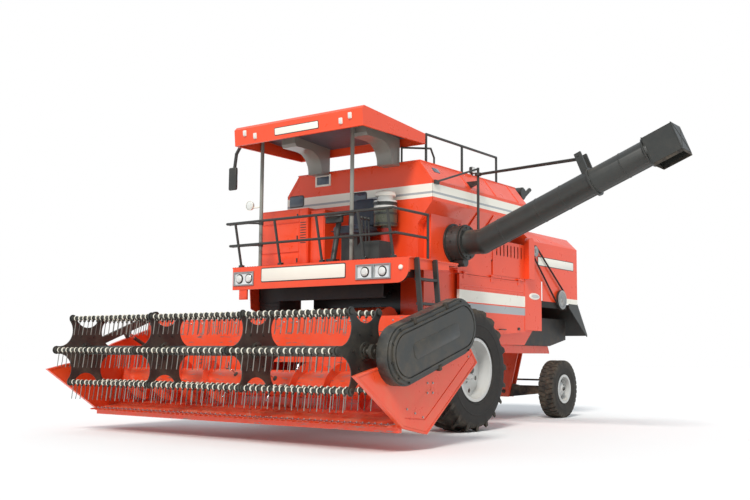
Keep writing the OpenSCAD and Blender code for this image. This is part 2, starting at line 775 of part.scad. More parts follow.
module cabinet() {
    color(paint) placed() {
        difference() {
            translate([cabinet_x, tank_front - cabinet_d, deck_z]) cube([cabinet_w, cabinet_d, cabinet_h]);
            for (z = [0.25, 0.75]) translate([cabinet_x - 1, tank_front - cabinet_d - 1,
                deck_z + z * cabinet_h])
                cube([cabinet_w + 2, 7, seam]);
        }
        translate([cabinet_x + cabinet_w + 20, tank_front - cabinet_d + 40, deck_z])
            cube([locker_w, cabinet_d - 40, cabinet_h - 40]);
    }
}
module air_cleaner() {
    color(steel) placed() {
        translate([can_x, can_y, deck_z]) cylinder(h = 480, d = 120, $fn = 48);
        translate([can_x, can_y, deck_z + 480]) cylinder(h = 330, d = can_d, $fn = 64);
        translate([can_x, can_y, deck_z + 810]) cylinder(h = 60, d = 0.65 * can_d, $fn = 64);
        translate([can_x, can_y, deck_z + 870]) cylinder(h = 40, d = 0.85 * can_d, $fn = 64);
        span([can_x - 60, can_y + 0.4 * can_d, deck_z + 560], [can_x + 60, tank_front, deck_z + 640]);
    }
}

// Unloading auger: hub, hinge and stay post on the tank, then the moving tube with its stays
hub_x0 = tank_x - 120;
hinge_x = tank_x + 80;
hinge_y = auger_y + auger_hub_d / 2 + 70;
hinge_pin_d = 36;
post_top = 3460;
collar_z = 3390;
collar_h = 40;
stay_d = 26;
stay_pin_d = 20;
ear_z = [95, 65];     // hinge ears above and below the hub's middle: far face, near face
module auger_hub() {
    color(shade) placed() {
        rod_x(hub_x0, hinge_x, auger_y, auger_z, auger_hub_d);
        rod_x(hub_x0, hub_x0 + 20, auger_y, auger_z, auger_hub_d + 60);
        // Gear housing under the hub
        rod_x(hub_x0 + 40, hinge_x - 10, auger_y, auger_z - auger_hub_d / 2 - 20, 130);
        for (z = [auger_z - ear_z[0], auger_z + ear_z[1]]) translate([0, 0, z])
            linear_extrude(ear_z[0] - ear_z[1]) {
            polygon([[hinge_x - 60, auger_y + 150], [hinge_x - 60, hinge_y - 20],
                [hinge_x - 30, hinge_y + 30],
                [hinge_x + 34, hinge_y + 30], [hinge_x + 34, hinge_y - 30], [hinge_x, hinge_y - 50],
                [hinge_x, auger_y + 150]]);
        }
        translate([hinge_x, hinge_y, auger_z - ear_z[0]])
            cylinder(h = post_top - auger_z + ear_z[0], d = hinge_pin_d, $fn = 48);
        // Arm from the post to the tank wall, and the brace to the tank's front corner
        xz(hinge_y - 20, 40, [[tank_x - rim_in * 0.15, lean_z + 270 * 0.15],
            [tank_x - rim_in * 0.45, lean_z + 270 * 0.45],
            [hinge_x, lean_z + 270 * 0.45], [hinge_x, lean_z + 270 * 0.45 - 40]]);
        bar([hinge_x, hinge_y, post_top - 14], [tank_x + 14, tank_front + 60, lean_z - 20], stay_d);
        span([tank_x, tank_front + 15, lean_z - 50], [tank_x + 32, tank_front + 105, lean_z]);
    }
}
flange_t = 28;
flange_gap = 2;
ring_at = 1650;
module auger_tube() {
    color(shade) placed() {
        difference() {
            union() {
                rod_x(hinge_x + flange_gap, hinge_x + flange_gap + flange_t, auger_y, auger_z,
                    auger_hub_d - 20);
                translate([hinge_x, hinge_y, auger_z - ear_z[1] + 2])
                    cylinder(h = 2 * ear_z[1] - 4, r = 32, $fn = 48);
                span([hinge_x + flange_gap, auger_y + 150, auger_z - ear_z[1] + 2],
                    [hinge_x + flange_gap + flange_t, hinge_y, auger_z + ear_z[1] - 2]);
            }
            translate([hinge_x, hinge_y, auger_z - 100])
                cylinder(h = 200, d = hinge_pin_d + 2 * run_gap, $fn = 48);
        }
        rod_x(hinge_x + flange_gap + flange_t, elbow_x, auger_y, auger_z, auger_d);
        translate([elbow_x, auger_y, auger_z]) sphere(d = 1.03 * auger_d, $fn = 64);
        translate([elbow_x, auger_y, auger_z]) rotate([0, -auger_rise, 0]) {
            rod_x(0, auger_len + 20, 0, 0, auger_d);
            rod_x(ring_at, ring_at + 30, 0, 0, auger_d + 50);
            difference() {
                for (y = [-100, 70]) translate([ring_at - 60, y, auger_d / 2 - 60]) cube([90, 30, 300]);
                translate([ring_at - 20, 150, auger_d / 2 + 200]) rotate([90, 0, 0])
                    cylinder(h = 300, d = stay_pin_d + 2 * run_gap, $fn = 32);
            }
            // Spout box, open below
            difference() {
                translate([auger_len, -spout_w / 2, -spout_down])
                    cube([spout_len, spout_w, spout_up + spout_down]);
                translate([auger_len + 30, -spout_w / 2 + 10, -spout_down - 1])
                    cube([spout_len - 40, spout_w - 20, spout_up + spout_down - 20]);
            }
        }
    }
}
module auger_stays() {
    bx = elbow_x + (ring_at - 20) * cos(auger_rise) - (auger_d / 2 + 200) * sin(auger_rise);
    bz = auger_z + (ring_at - 20) * sin(auger_rise) + (auger_d / 2 + 200) * cos(auger_rise);
    color(shade) placed() difference() {
        union() {
            translate([hinge_x, hinge_y, collar_z - collar_h]) cylinder(h = collar_h, d = 90, $fn = 48);
            bar([hinge_x + 28, hinge_y - 22, collar_z - collar_h / 2], [bx, auger_y + 40, bz], stay_d);
            bar([hinge_x + 28, hinge_y + 22, collar_z - collar_h / 2], [bx, auger_y + 116, bz], stay_d);
            // Pin through both plates of the tube's bracket
            translate([bx, auger_y + 140, bz]) rotate([90, 0, 0])
                cylinder(h = 250, d = stay_pin_d, $fn = 32);
        }
        translate([hinge_x, hinge_y, collar_z - collar_h - 1])
            cylinder(h = collar_h + 2, d = hinge_pin_d + 2 * run_gap, $fn = 48);
    }
}

// Feeder house, in a frame that starts at its pivot and slopes down to the header
throat_z = 660;
back_y = intake_y + intake_d / 2 + trough_gap;
trough_r = intake_d / 2 + trough_gap;
feeder_slope = atan2(pivot_z - throat_z, pivot_y - back_y);
feeder_len = norm([pivot_y - back_y, pivot_z - throat_z]) + 200;
lift_at = 950;
lift_drop = feeder_h / 2 + 60;
lift_top_pin_d = 30;
lift_eye_y = pivot_y - lift_at * cos(feeder_slope) + lift_drop * sin(feeder_slope);
lift_eye_z = pivot_z - lift_at * sin(feeder_slope) - lift_drop * cos(feeder_slope);
module in_feeder() {
    translate([0, pivot_y, pivot_z]) rotate([feeder_slope, 0, 0]) children();
}
module feeder_house() {
    f = feeder_w / 2;
    color(paint) placed() {
        difference() {
            in_feeder() union() {
                span([-f, -feeder_len, -feeder_h / 2], [f, 0, feeder_h / 2]);
                rod_x(-f, f, 0, 0, feeder_h);
            }
            // Mouth towards the header
            in_feeder() span([-f + 20, -feeder_len - 1, -feeder_h / 2 + 20],
                [f - 20, -600, feeder_h / 2 - 20]);
            rod_x(-f - 1, f + 1, intake_y, intake_z, 2 * (trough_r + sheet + seat_gap));
            span([-f - 1, back_y - 900, intake_z], [f + 1, back_y + sheet, pivot_z]);
            span([-f - 1, back_y - 900, -100], [f + 1, intake_y, intake_z + 1]);
        }
        rod_x(-pivot_plate_x - pivot_plate_t - 20, 5 - f, pivot_y, pivot_z, pivot_shaft_d);
        rod_x(f - 5, pivot_plate_x + pivot_plate_t + 20, pivot_y, pivot_z, pivot_shaft_d);
        // Ears and pins for the lift cylinders
        both_sides() in_feeder() {
            for (x = [lift_x - lift_eye_w / 2 - ear_t - 1, lift_x + lift_eye_w / 2 + 1]) {
                yz(x, ear_t, [[-lift_at - 60, -feeder_h / 2], [-lift_at - 32, -lift_drop - 32],
                    [-lift_at + 32, -lift_drop - 32], [-lift_at + 60, -feeder_h / 2]]);
            }
            rod_x(lift_x - lift_eye_w / 2 - ear_t, lift_x + lift_eye_w / 2 + ear_t, -lift_at, -lift_drop,
                lift_top_pin_d);
        }
    }
}

// Header trough: floor, curved back, rear wall with the throat, top beam and reel arm ears
floor_front = -2850;
floor_z = 270;
beam_s = 100;
trough_top = 1380;
arm_x = header_half - 130;
arm_t = 40;
arm_pin_y = -2010;
arm_pin_z = 1450;
arm_pin_d = 40;
throat_half = feeder_w / 2 - 20;
reel_cyl_x = header_half - 175;
reel_cyl_y = -2120;
reel_cyl_z = 1000;
module trough() {
    h = header_half - end_t;
    color(paint) placed() {
        difference() {
            union() {
                yz(-h, 2 * h, [[floor_front, floor_z - sheet], [intake_y, intake_z - trough_r - sheet],
                    [intake_y, intake_z - trough_r], [floor_front, floor_z]]);
                intersection() {
                    difference() {
                        rod_x(-h, h, intake_y, intake_z, 2 * (trough_r + sheet));
                        rod_x(-h - 1, h + 1, intake_y, intake_z, 2 * trough_r);
                    }
                    span([-h, intake_y, intake_z - trough_r - 50], [h, intake_y + trough_r + 50, intake_z]);
                }
                span([-h, back_y, intake_z], [h, back_y + sheet, trough_top - beam_s]);
            }
            span([-throat_half, intake_y + 20, throat_z - 210], [throat_half, back_y + 50, throat_z + 200]);
        }
        difference() {
            span([-h, back_y, trough_top - beam_s], [h, back_y + beam_s, trough_top]);
            // Notches under the reel arms
            both_sides() span([arm_x - 10, back_y - 1, trough_top - 45],
                [arm_x + arm_t + 2, back_y + beam_s + 1, trough_top + 1]);
        }
        // Beam under the front edge
        span([-h, floor_front, floor_z - 80], [h, floor_front + 60, floor_z - 1]);
        both_sides() {
            yz(arm_x + arm_t + 2, 25, [[back_y, trough_top - beam_s], [back_y, trough_top],
                [arm_pin_y - 35, arm_pin_z + 35],
                [arm_pin_y + 35, arm_pin_z + 35], [back_y + beam_s + 40, trough_top - beam_s]]);
            rod_x(arm_x - 6, arm_x + arm_t + 27, arm_pin_y, arm_pin_z, arm_pin_d);
            // Bolted brackets with the pins of the reel's lift cylinders
            span([reel_cyl_x - 36, back_y - seat_gap - 8, reel_cyl_z - 90],
                [reel_cyl_x, back_y - seat_gap, reel_cyl_z + 70]);
            yz(reel_cyl_x - 24, 12, [[back_y - seat_gap - 7, reel_cyl_z - 80],
                [reel_cyl_y - 20, reel_cyl_z - 20],
                [reel_cyl_y - 20, reel_cyl_z + 20], [back_y - seat_gap - 7, reel_cyl_z + 60]]);
            rod_x(reel_cyl_x - 24, reel_cyl_x + 12, reel_cyl_y, reel_cyl_z, 20);
        }
    }
}
panel_outline = [[header_tip, 740], [-3320, 790], [-3050, 830], [-2620, 1050], [-1940, 1280], [-1800, 1270],
    [-1450, 880], [-2410, 180], [-2820, 262]];
edge_seam = [[-2790, 330], [-2440, 300], [-1530, 960]];
module end_panels() {
    color(paint) placed() both_sides() difference() {
        union() {
            yz(header_half - end_t, end_t, panel_outline);
            // Bearing of the intake auger
            rod_x(header_half - end_t - 20, header_half - end_t, intake_y, intake_z, 140);
        }
        rod_x(header_half - end_t - 30, header_half + 1, intake_y, intake_z, intake_stub_d + 2 * run_gap);
        yz(header_half - 9, 10, [for (p = edge_seam) p + [-6, 10],
            for (i = [len(edge_seam) - 1:-1:0]) edge_seam[i]]);
    }
}
// Knife bar with its guards
guard_n = 60;
module knife() {
    h = header_half - end_t;
    color(shade) placed() {
        span([-h, floor_front - 26, floor_z - 34], [h, floor_front, floor_z + 4]);
        for (i = [0:guard_n - 1]) {
            x = -h + (i + 0.5) * 2 * h / guard_n;
            yz(x - 9, 18, [[floor_front - 26, floor_z - 24], [floor_front - 26, floor_z + 2],
                [floor_front - 110, floor_z - 6],
                [floor_front - 135, floor_z - 16], [floor_front - 110, floor_z - 22]]);
        }
    }
}
cover_ends = [[-2980, 950], [-1980, 1250]];
cover_r = 300;
cover_t = 175;
module stadium(r) {
    a = cover_ends[0];
    b = cover_ends[1];
    turn = atan2(b[1] - a[1], b[0] - a[0]);
    len = norm(b - a);
    translate(a) rotate(turn) {
        circle(r = r, $fn = 96);
        translate([len, 0]) circle(r = r, $fn = 96);
        translate([0, -r]) square([len, 2 * r]);
    }
}
module belt_cover() {
    color(shade) placed() translate([header_half, 0, 0]) rotate([90, 0, 90]) {
        linear_extrude(cover_t - 45) stadium(cover_r);
        linear_extrude(cover_t - 20) stadium(cover_r - 18);
        difference() {
            linear_extrude(cover_t) stadium(cover_r - 55);
            translate([0, 0, cover_t - 14]) linear_extrude(15) difference() {
                stadium(cover_r - 75);
                stadium(cover_r - 92);
            }
        }
    }
}

// Lift cylinders of the header; the rod's eye is open round its pin
cyl_d = 90;
cyl_rod_d = 44;
cyl_len = 760;
lift_turn = atan2(lift_pin_z - lift_eye_z, lift_pin_y - lift_eye_y);
lift_span = norm([lift_pin_y - lift_eye_y, lift_pin_z - lift_eye_z]);
module along_lift(x) {
    translate([x, lift_pin_y, lift_pin_z]) rotate([lift_turn, 0, 0]) children();
}
module barrel(eye_w, pin_d, d, len, bore_d, rod_d) {
    difference() {
        union() {
            rod_x(-eye_w / 2, eye_w / 2, 0, 0, pin_d * 2.1);
            rotate([90, 0, 0]) cylinder(h = len, d = d, $fn = 48);
        }
        rod_x(-eye_w, eye_w, 0, 0, pin_d + 2 * run_gap);
        translate([0, -d * 0.8, 0]) rotate([90, 0, 0]) cylinder(h = len - d * 1.1, d = bore_d, $fn = 48);
        translate([0, -d * 0.8, 0]) rotate([90, 0, 0]) cylinder(h = len, d = rod_d + 2 * run_gap, $fn = 48);
        for (x = [-d - eye_w / 2 - 0.5, eye_w / 2 + 0.5]) translate([x, -pin_d * 1.6, -d])
            cube([d, pin_d * 3.2, 2 * d]);
    }
}
module rod_with_eye(eye_w, eye_bore, rod_d, piston_d, from, to) {
    difference() {
        union() {
            translate([0, -from, 0]) rotate([90, 0, 0]) cylinder(h = to - from, d = rod_d, $fn = 48);
            translate([0, -from, 0]) rotate([90, 0, 0]) cylinder(h = 30, d = piston_d, $fn = 48);
            translate([0, -to, 0]) rod_x(-eye_w / 2, eye_w / 2, 0, 0, eye_bore + 26);
        }
        translate([0, -to, 0]) rod_x(-eye_w, eye_w, 0, 0, eye_bore);
    }
}
lift_eye_bore = 52;
module lift_barrels() {
    color(shade) placed() both_sides() along_lift(lift_x)
        barrel(lift_eye_w, lift_pin_d, cyl_d, cyl_len, 70, cyl_rod_d);
}
module lift_rods() {
    color(steel) placed() both_sides() along_lift(lift_x)
        rod_with_eye(lift_eye_w - 4, lift_eye_bore, cyl_rod_d, 66, 340, lift_span);
}

// Intake auger: tube, two flights that feed to the middle, and fingers
intake_stub_d = 50;
intake_tube_d = 300;
flight_pitch = 480;
flight_end = header_half - end_t - 40;
flight_in = 560;
finger_n = 14;
module intake_auger() {
    len = flight_end - flight_in;
    color(paint) placed() translate([0, intake_y, intake_z]) {
        rod_x(-flight_end, flight_end, 0, 0, intake_tube_d);
        rod_x(-header_half + 5, -flight_end, 0, 0, intake_stub_d);
        rod_x(flight_end, header_half - 5, 0, 0, intake_stub_d);
        both_sides() translate([flight_in, 0, 0]) rotate([0, 90, 0])
            linear_extrude(len, twist = 360 * len / flight_pitch, slices = ceil(len / flight_pitch * 18),
                segments = 4)
                translate([intake_tube_d / 2 - 3, -10]) square([intake_d / 2 - intake_tube_d / 2 + 3, 20]);
        for (i = [0:finger_n - 1]) {
            x = -flight_in + (i + 0.5) * 2 * flight_in / finger_n;
            translate([x, 0, 0]) rotate([i * 137, 0, 0]) cylinder(h = intake_d / 2 - 10, d = 16, $fn = 16);
        }
    }
}

// Reel arms and their lift cylinders
reel_stub_d = 50;
arm_h = 90;
arm_slope = atan2(arm_pin_z - reel_z, arm_pin_y - reel_y);
arm_len = norm([arm_pin_y - reel_y, arm_pin_z - reel_z]);
arm_eye_at = 520;
arm_eye_drop = 90;
reel_eye_y = arm_pin_y - arm_eye_at * cos(arm_slope) + arm_eye_drop * sin(arm_slope);
reel_eye_z = arm_pin_z - arm_eye_at * sin(arm_slope) - arm_eye_drop * cos(arm_slope);
module reel_arms() {
    color(shade) placed() both_sides() translate([0, arm_pin_y, arm_pin_z]) rotate([arm_slope, 0, 0]) {
        difference() {
            union() {
                span([arm_x, -arm_len, -arm_h / 2], [arm_x + arm_t, 0, arm_h / 2]);
                rod_x(arm_x, arm_x + arm_t, 0, 0, 110);
                rod_x(arm_x, arm_x + arm_t, -arm_len, 0, 140);
                yz(arm_x, arm_t, [[-arm_eye_at - 60, 0], [-arm_eye_at - 26, -arm_eye_drop - 26],
                    [-arm_eye_at + 26, -arm_eye_drop - 26], [-arm_eye_at + 60, 0]]);
            }
            rod_x(arm_x - 1, arm_x + arm_t + 1, 0, 0, arm_pin_d + 2 * run_gap);
            rod_x(arm_x - 1, arm_x + arm_t + 1, -arm_len, 0, reel_stub_d + 2 * run_gap);
        }
        rod_x(reel_cyl_x - 12, arm_x, -arm_eye_at, -arm_eye_drop, 16);
    }
}
reel_cyl_turn = atan2(reel_cyl_z - reel_eye_z, reel_cyl_y - reel_eye_y);
reel_cyl_span = norm([reel_cyl_y - reel_eye_y, reel_cyl_z - reel_eye_z]);
module along_reel_cyl() {
    translate([reel_cyl_x, reel_cyl_y, reel_cyl_z]) rotate([reel_cyl_turn, 0, 0]) children();
}
module reel_barrels() {
    color(shade) placed() both_sides() along_reel_cyl() barrel(18, 20, 46, reel_cyl_span - 61, 34, 22);
}
module reel_rods() {
    color(steel) placed() both_sides() along_reel_cyl() rod_with_eye(16, 30, 22, 30, 100, reel_cyl_span);
}

// Reel: shaft and four star plates, and six tined bats that stay upright as it turns
bat_n = 6;
plate_t = 10;
plate_end = header_half - 215;
reel_tube_d = 110;
bat_end = plate_end + 25;
bay = 2 * plate_end / 3;
module reel_frame() {
    color(shade) placed() translate([0, reel_y, reel_z]) {
        rod_x(-plate_end - 30, plate_end + 30, 0, 0, reel_tube_d);
        rod_x(-arm_x - arm_t - 10, arm_x + arm_t + 10, 0, 0, reel_stub_d);
        for (i = [0:3]) difference() {
            translate([-plate_end + i * bay - plate_t / 2, 0, 0]) rotate([90, 0, 90])
                linear_extrude(plate_t) {
                difference() {
                    circle(r = reel_r, $fn = 96);
                    for (k = [0:bat_n - 1]) rotate((k + 0.5) * 360 / bat_n)
                        translate([reel_r + 20, 0]) circle(r = 185, $fn = 64);
                }
                for (k = [0:bat_n - 1]) rotate(k * 360 / bat_n) translate([reel_r, 0])
                    circle(r = boss_r, $fn = 48);
            }
            for (k = [0:bat_n - 1]) rotate([k * 360 / bat_n, 0, 0])
                rod_x(-plate_end - 20 + i * bay, -plate_end + 20 + i * bay, reel_r, 0, bat_d + 2 * run_gap);
        }
    }
}
// One bat: k counts round the reel from the rear
module bat(k) {
    y = reel_y + reel_r * cos(k * 360 / bat_n);
    z = reel_z + reel_r * sin(k * 360 / bat_n);
    n = tine_n / 3;
    color(shade) placed() {
        rod_x(-bat_end, bat_end, y, z, bat_d);
        for (b = [0:2]) for (i = [0:1:n - 1]) {
            x = -plate_end + b * bay + 70 + i * (bay - 140) / (n - 1);
            rod_x(x - 14, x + 14, y, z, bat_d + 16);
            bar([x, y, z], [x, y - 25, z - tine_len], 10);
        }
    }
}
module bat_1() { bat(0); }
module bat_2() { bat(1); }
module bat_3() { bat(2); }
module bat_4() { bat(3); }
module bat_5() { bat(4); }
module bat_6() { bat(5); }

// A tyre round x: half width, bead radius, outer radius without lugs
module tyre_body(half, bead, crown) {
    side = bead + 0.48 * (crown - bead);
    rotate([0, 90, 0]) rotate_extrude($fn = 96) polygon([
        [bead, -0.82 * half], [bead + 28, -0.82 * half], [side - 40, -0.98 * half], [side + 20, -half],
        [crown - 70, -0.97 * half],
        [crown - 22, -0.88 * half], [crown, -0.55 * half], [crown, 0.55 * half], [crown - 22, 0.88 * half],
        [crown - 70, 0.97 * half], [side + 20, half], [side - 40, 0.98 * half], [bead + 28, 0.82 * half],
        [bead, 0.82 * half]]);
}
module drive_tyre() {
    half = drive_w / 2;
    crown = drive_r - lug_h;
    color([0.10, 0.10, 0.10]) {
        tyre_body(half, drive_rim_d / 2, crown);
        intersection() {
            for (s = [-1, 1]) for (i = [0:lug_n - 1]) rotate([(i + (s > 0 ? 0.5 : 0)) * 360 / lug_n, 0, 0])
                translate([s * 0.45 * half, 0, crown]) rotate([0, 0, s * 42])
                    translate([-165, -24, -50]) cube([330, 48, 120]);
            rotate([0, 90, 0]) rotate_extrude($fn = 96)
                polygon([[crown - 45, -0.95 * half], [drive_r - 12, -0.93 * half],
                [drive_r, -0.85 * half], [drive_r, 0.85 * half], [drive_r - 12, 0.93 * half],
                [crown - 45, 0.95 * half]]);
        }
    }
}
// A rim round x with its dished disc and hub; the disc lies at disc_x, towards +x
module rim(half, bead, disc_x, hub_r, bore_d, hub_x0, hub_x1, bolt_r, bolt_n) {
    lip = bead + 22;
    difference() {
        rotate([0, 90, 0]) rotate_extrude($fn = 96) polygon([
            [bead - seat_gap, -0.82 * half - seat_gap], [lip, -0.82 * half - seat_gap],
            [lip, -0.82 * half - 12], [bead - 14, -0.82 * half - 12],
            [bead - 16, disc_x - 12], [hub_r + 60, disc_x + 4], [hub_r, disc_x + 40], [hub_r, hub_x0],
            [1, hub_x0],
            [1, hub_x1], [hub_r * 0.7, hub_x1], [hub_r, hub_x1 - 20], [hub_r + 8, disc_x + 52],
            [hub_r + 66, disc_x + 16], [bead - 16, disc_x],
            [bead - 14, 0.82 * half + 12], [lip, 0.82 * half + 12], [lip, 0.82 * half + seat_gap],
            [bead - seat_gap, 0.82 * half + seat_gap]]);
        rod_x(hub_x0 - 1, hub_x1 - 30, 0, 0, bore_d);
        for (i = [0:bolt_n - 1]) rotate([(i + 0.5) * 360 / bolt_n, 0, 0])
            translate([disc_x - 40, 0, bolt_r]) rotate([0, 90, 0]) cylinder(h = 100, d = 60, $fn = 32);
    }
}
module drive_rim() {
    color(cream) rim(drive_w / 2, drive_rim_d / 2, 30, 120, stub_d + 2 * run_gap, -100, 130, 290, 8);
}
module steer_tyre() {
    color([0.10, 0.10, 0.10]) difference() {
        tyre_body(steer_w / 2, steer_rim_d / 2, steer_r);
        for (s = [-1, 1]) rotate([0, 90, 0]) rotate_extrude($fn = 96)
            translate([steer_r - 12, s * 0.26 * steer_w - 6]) square([20, 12]);
    }
}
spindle_d = 56;
module steer_rim() {
    color(cream) rim(steer_w / 2, steer_rim_d / 2, 20, 62, spindle_d + 2 * run_gap, -60, 95, 140, 6);
}
module at_drive(s) {
    placed() translate([s * drive_x, 0, drive_r]) scale_side(s) children();
}
module at_steer(s) {
    placed() translate([s * steer_x, wheelbase, steer_r]) scale_side(s) children();
}
module scale_side(s) {
    if (s > 0) children();
    else mirror([1, 0, 0]) children();
}
module drive_tyre_left() { at_drive(1) drive_tyre(); }
module drive_tyre_right() { at_drive(-1) drive_tyre(); }
module drive_rim_left() { at_drive(1) drive_rim(); }
module drive_rim_right() { at_drive(-1) drive_rim(); }
module steer_tyre_left() { at_steer(1) steer_tyre(); }
module steer_tyre_right() { at_steer(-1) steer_tyre(); }
module steer_rim_left() { at_steer(1) steer_rim(); }
module steer_rim_right() { at_steer(-1) steer_rim(); }

// Steering knuckle: fork, kingpin, spindle and arm; its tie rod keeps both knuckles parallel
arm_back = 190;
ball_d = 24;
lug_t = 28;
web_x = 64;
module knuckle() {
    up = boss_h / 2 + 1;
    color(shade) translate([king_x, wheelbase, steer_r]) {
        for (z = [-up - lug_t, up]) translate([0, 0, z]) linear_extrude(lug_t) {
            circle(d = 96, $fn = 48);
            translate([0, -48]) square([web_x + 30, 96]);
        }
        span([web_x, -48, -up], [web_x + 30, 48, up]);
        translate([0, 0, -up - lug_t]) cylinder(h = 2 * (up + lug_t), d = kingpin_d, $fn = 48);
        rod_x(web_x + 30, kingpin_inset + 60, 0, 0, spindle_d);
        // Arm with the tie rod's pin
        translate([0, 0, up]) linear_extrude(22) {
            translate([-24, 0]) square([48, arm_back]);
            translate([0, arm_back]) circle(d = 56, $fn = 32);
        }
        translate([0, arm_back, up + 22]) cylinder(h = 50, d = ball_d, $fn = 32);
    }
}
module knuckle_left() { placed() knuckle(); }
module knuckle_right() { placed() mirror([1, 0, 0]) knuckle(); }
module tie_rod() {
    z = steer_r + boss_h / 2 + 1 + 22 + 4;
    color(shade) placed() translate([0, wheelbase + arm_back, z]) {
        both_sides() translate([king_x, 0, 0]) difference() {
            cylinder(h = 34, d = 60, $fn = 48);
            translate([0, 0, -1]) cylinder(h = 36, d = ball_d + 2 * run_gap, $fn = 32);
        }
        rod_x(-king_x + 27, king_x - 27, 0, 17, 30);
    }
}

// Hinged side shields
shield_front = 420;
shield_rear = strip_y - 10;
sill_low = deck_z - 40;
shield_top = sill_low - 8;
shield_hinge_x = panel_x + 16;
shield_hinge_z = deck_z - 20;
hinge_d = 12;
shield_hinges = [560, 1300, 2100];
shield_low = 1220;
sill_x = panel_x - 8;
module shield() {
    t = panel_x - shield_t;
    i = 20;
    color(paint) {
        difference() {
            yz(t, shield_t, [[shield_front, shield_top], [shield_front, 1620], [1000, shield_low],
                [shield_rear, shield_low + 90], [shield_rear, shield_top]]);
            yz(t - 1, shield_t - 3, [[shield_front + i, shield_top - i],
                [shield_front + i, 1620 + i * 0.7], [1000 + i * 0.3, shield_low + i],
                [shield_rear - i, shield_low + 90 + i], [shield_rear - i, shield_top - i]]);
        }
        for (y = shield_hinges) difference() {
            union() {
                translate([shield_hinge_x, y - 40, shield_hinge_z]) rotate([-90, 0, 0])
                    cylinder(h = 80, d = 26, $fn = 32);
                span([panel_x, y - 40, shield_top - 60], [panel_x + 8, y + 40, shield_hinge_z - 4]);
            }
            translate([shield_hinge_x, y - 41, shield_hinge_z]) rotate([-90, 0, 0])
                cylinder(h = 82, d = hinge_d + 2 * run_gap, $fn = 32);
        }
    }
}
module shield_left() { placed() shield(); }
module shield_right() { placed() mirror([1, 0, 0]) shield(); }
// Sill along the deck's edge with the hinge pins
module sills() {
    color(paint) placed() both_sides() {
        span([body_x, shield_front - 20, sill_low], [sill_x, strip_y - 4, deck_z]);
        for (y = shield_hinges) {
            translate([shield_hinge_x, y - 62, shield_hinge_z]) rotate([-90, 0, 0])
                cylinder(h = 124, d = hinge_d, $fn = 32);
            for (e = [y - 62, y + 44]) span([sill_x - 1, e, shield_hinge_z - 10],
                [shield_hinge_x + 10, e + 18, shield_hinge_z + 10]);
        }
    }
}
// Boot on the tank's left side that carries the auger's hub
module boot() {
    color(paint) placed() xz(-420, 740, [[hopper_x, deck_z], [hopper_x, hopper_low],
        [hub_x0, hopper_low + (hub_x0 - hopper_x) * (tank_waist - hopper_low) / (tank_x - hopper_x)],
        [hub_x0, deck_z]]);
}

frame();
drive_axle();
rear_axle();
thresher();
sieve_box();
side_panels();
sills();
boot();
straw_hood();
deflector();
grain_tank();
engine();
exhaust();
belt_drive();
elevator();
platform();
rails();
ladder();
canopy();
canopy_posts();
mirrors();
lamps();
seat();
controls();
cabinet();
air_cleaner();
auger_hub();
auger_tube();
auger_stays();
feeder_house();
trough();
end_panels();
knife();
belt_cover();
intake_auger();
lift_barrels();
lift_rods();
reel_arms();
reel_barrels();
reel_rods();
reel_frame();
bat_1();
bat_2();
bat_3();
bat_4();
bat_5();
bat_6();
drive_tyre_left();
drive_tyre_right();
drive_rim_left();
drive_rim_right();
knuckle_left();
knuckle_right();
tie_rod();
steer_tyre_left();
steer_tyre_right();
steer_rim_left();
steer_rim_right();
shield_left();
shield_right();
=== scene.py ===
"""Finishes and small parts of a self-propelled combine harvester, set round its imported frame.

Sizes are in millimetres in the machine's own frame (y = 0 at the drive axle, x = 0 in the middle plane,
z up from the ground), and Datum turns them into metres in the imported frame.
"""
import logging
import math
from dataclasses import dataclass, field
from enum import Enum
from typing import Sequence

import bmesh
import bpy
import numpy as np
from mathutils import Matrix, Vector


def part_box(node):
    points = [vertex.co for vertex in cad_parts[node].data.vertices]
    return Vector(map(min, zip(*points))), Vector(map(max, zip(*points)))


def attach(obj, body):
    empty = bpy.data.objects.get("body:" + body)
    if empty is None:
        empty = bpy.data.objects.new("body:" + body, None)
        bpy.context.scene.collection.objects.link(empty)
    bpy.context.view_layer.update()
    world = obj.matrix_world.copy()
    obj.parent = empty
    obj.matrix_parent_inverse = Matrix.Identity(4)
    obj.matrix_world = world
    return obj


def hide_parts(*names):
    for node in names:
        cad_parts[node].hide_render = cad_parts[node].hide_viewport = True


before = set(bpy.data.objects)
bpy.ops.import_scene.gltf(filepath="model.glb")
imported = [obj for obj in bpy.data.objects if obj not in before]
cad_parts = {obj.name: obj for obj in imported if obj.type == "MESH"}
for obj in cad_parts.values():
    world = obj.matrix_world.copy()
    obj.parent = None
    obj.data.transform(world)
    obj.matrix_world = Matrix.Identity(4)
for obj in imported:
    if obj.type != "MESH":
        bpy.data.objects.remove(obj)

LOG = logging.getLogger("harvester")
Array = np.ndarray
Point = tuple[float, float, float]
Outline = Sequence[tuple[float, float]]
Numbers = tuple[float, ...]
Rows = tuple[Numbers, ...]
Group = tuple[Array, Point]
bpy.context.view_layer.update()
MM_PER_M = 1000.0
ORIGIN, UP, AHEAD, BACKWARDS, LEFTWARDS = (0, 0, 0), (0, 0, 1), (0, -1, 0), (0, 1, 0), (1, 0, 0)


class Axis(Enum):
    """The axis that a form turns round or is pushed along."""

    X = 0
    Y = 1
    Z = 2


class Side(Enum):
    """A side of the machine, as the sign of x."""

    LEFT = 1
    RIGHT = -1

    @property
    def word(self) -> str:
        """The side's name in lower case."""
        return self.name.lower()


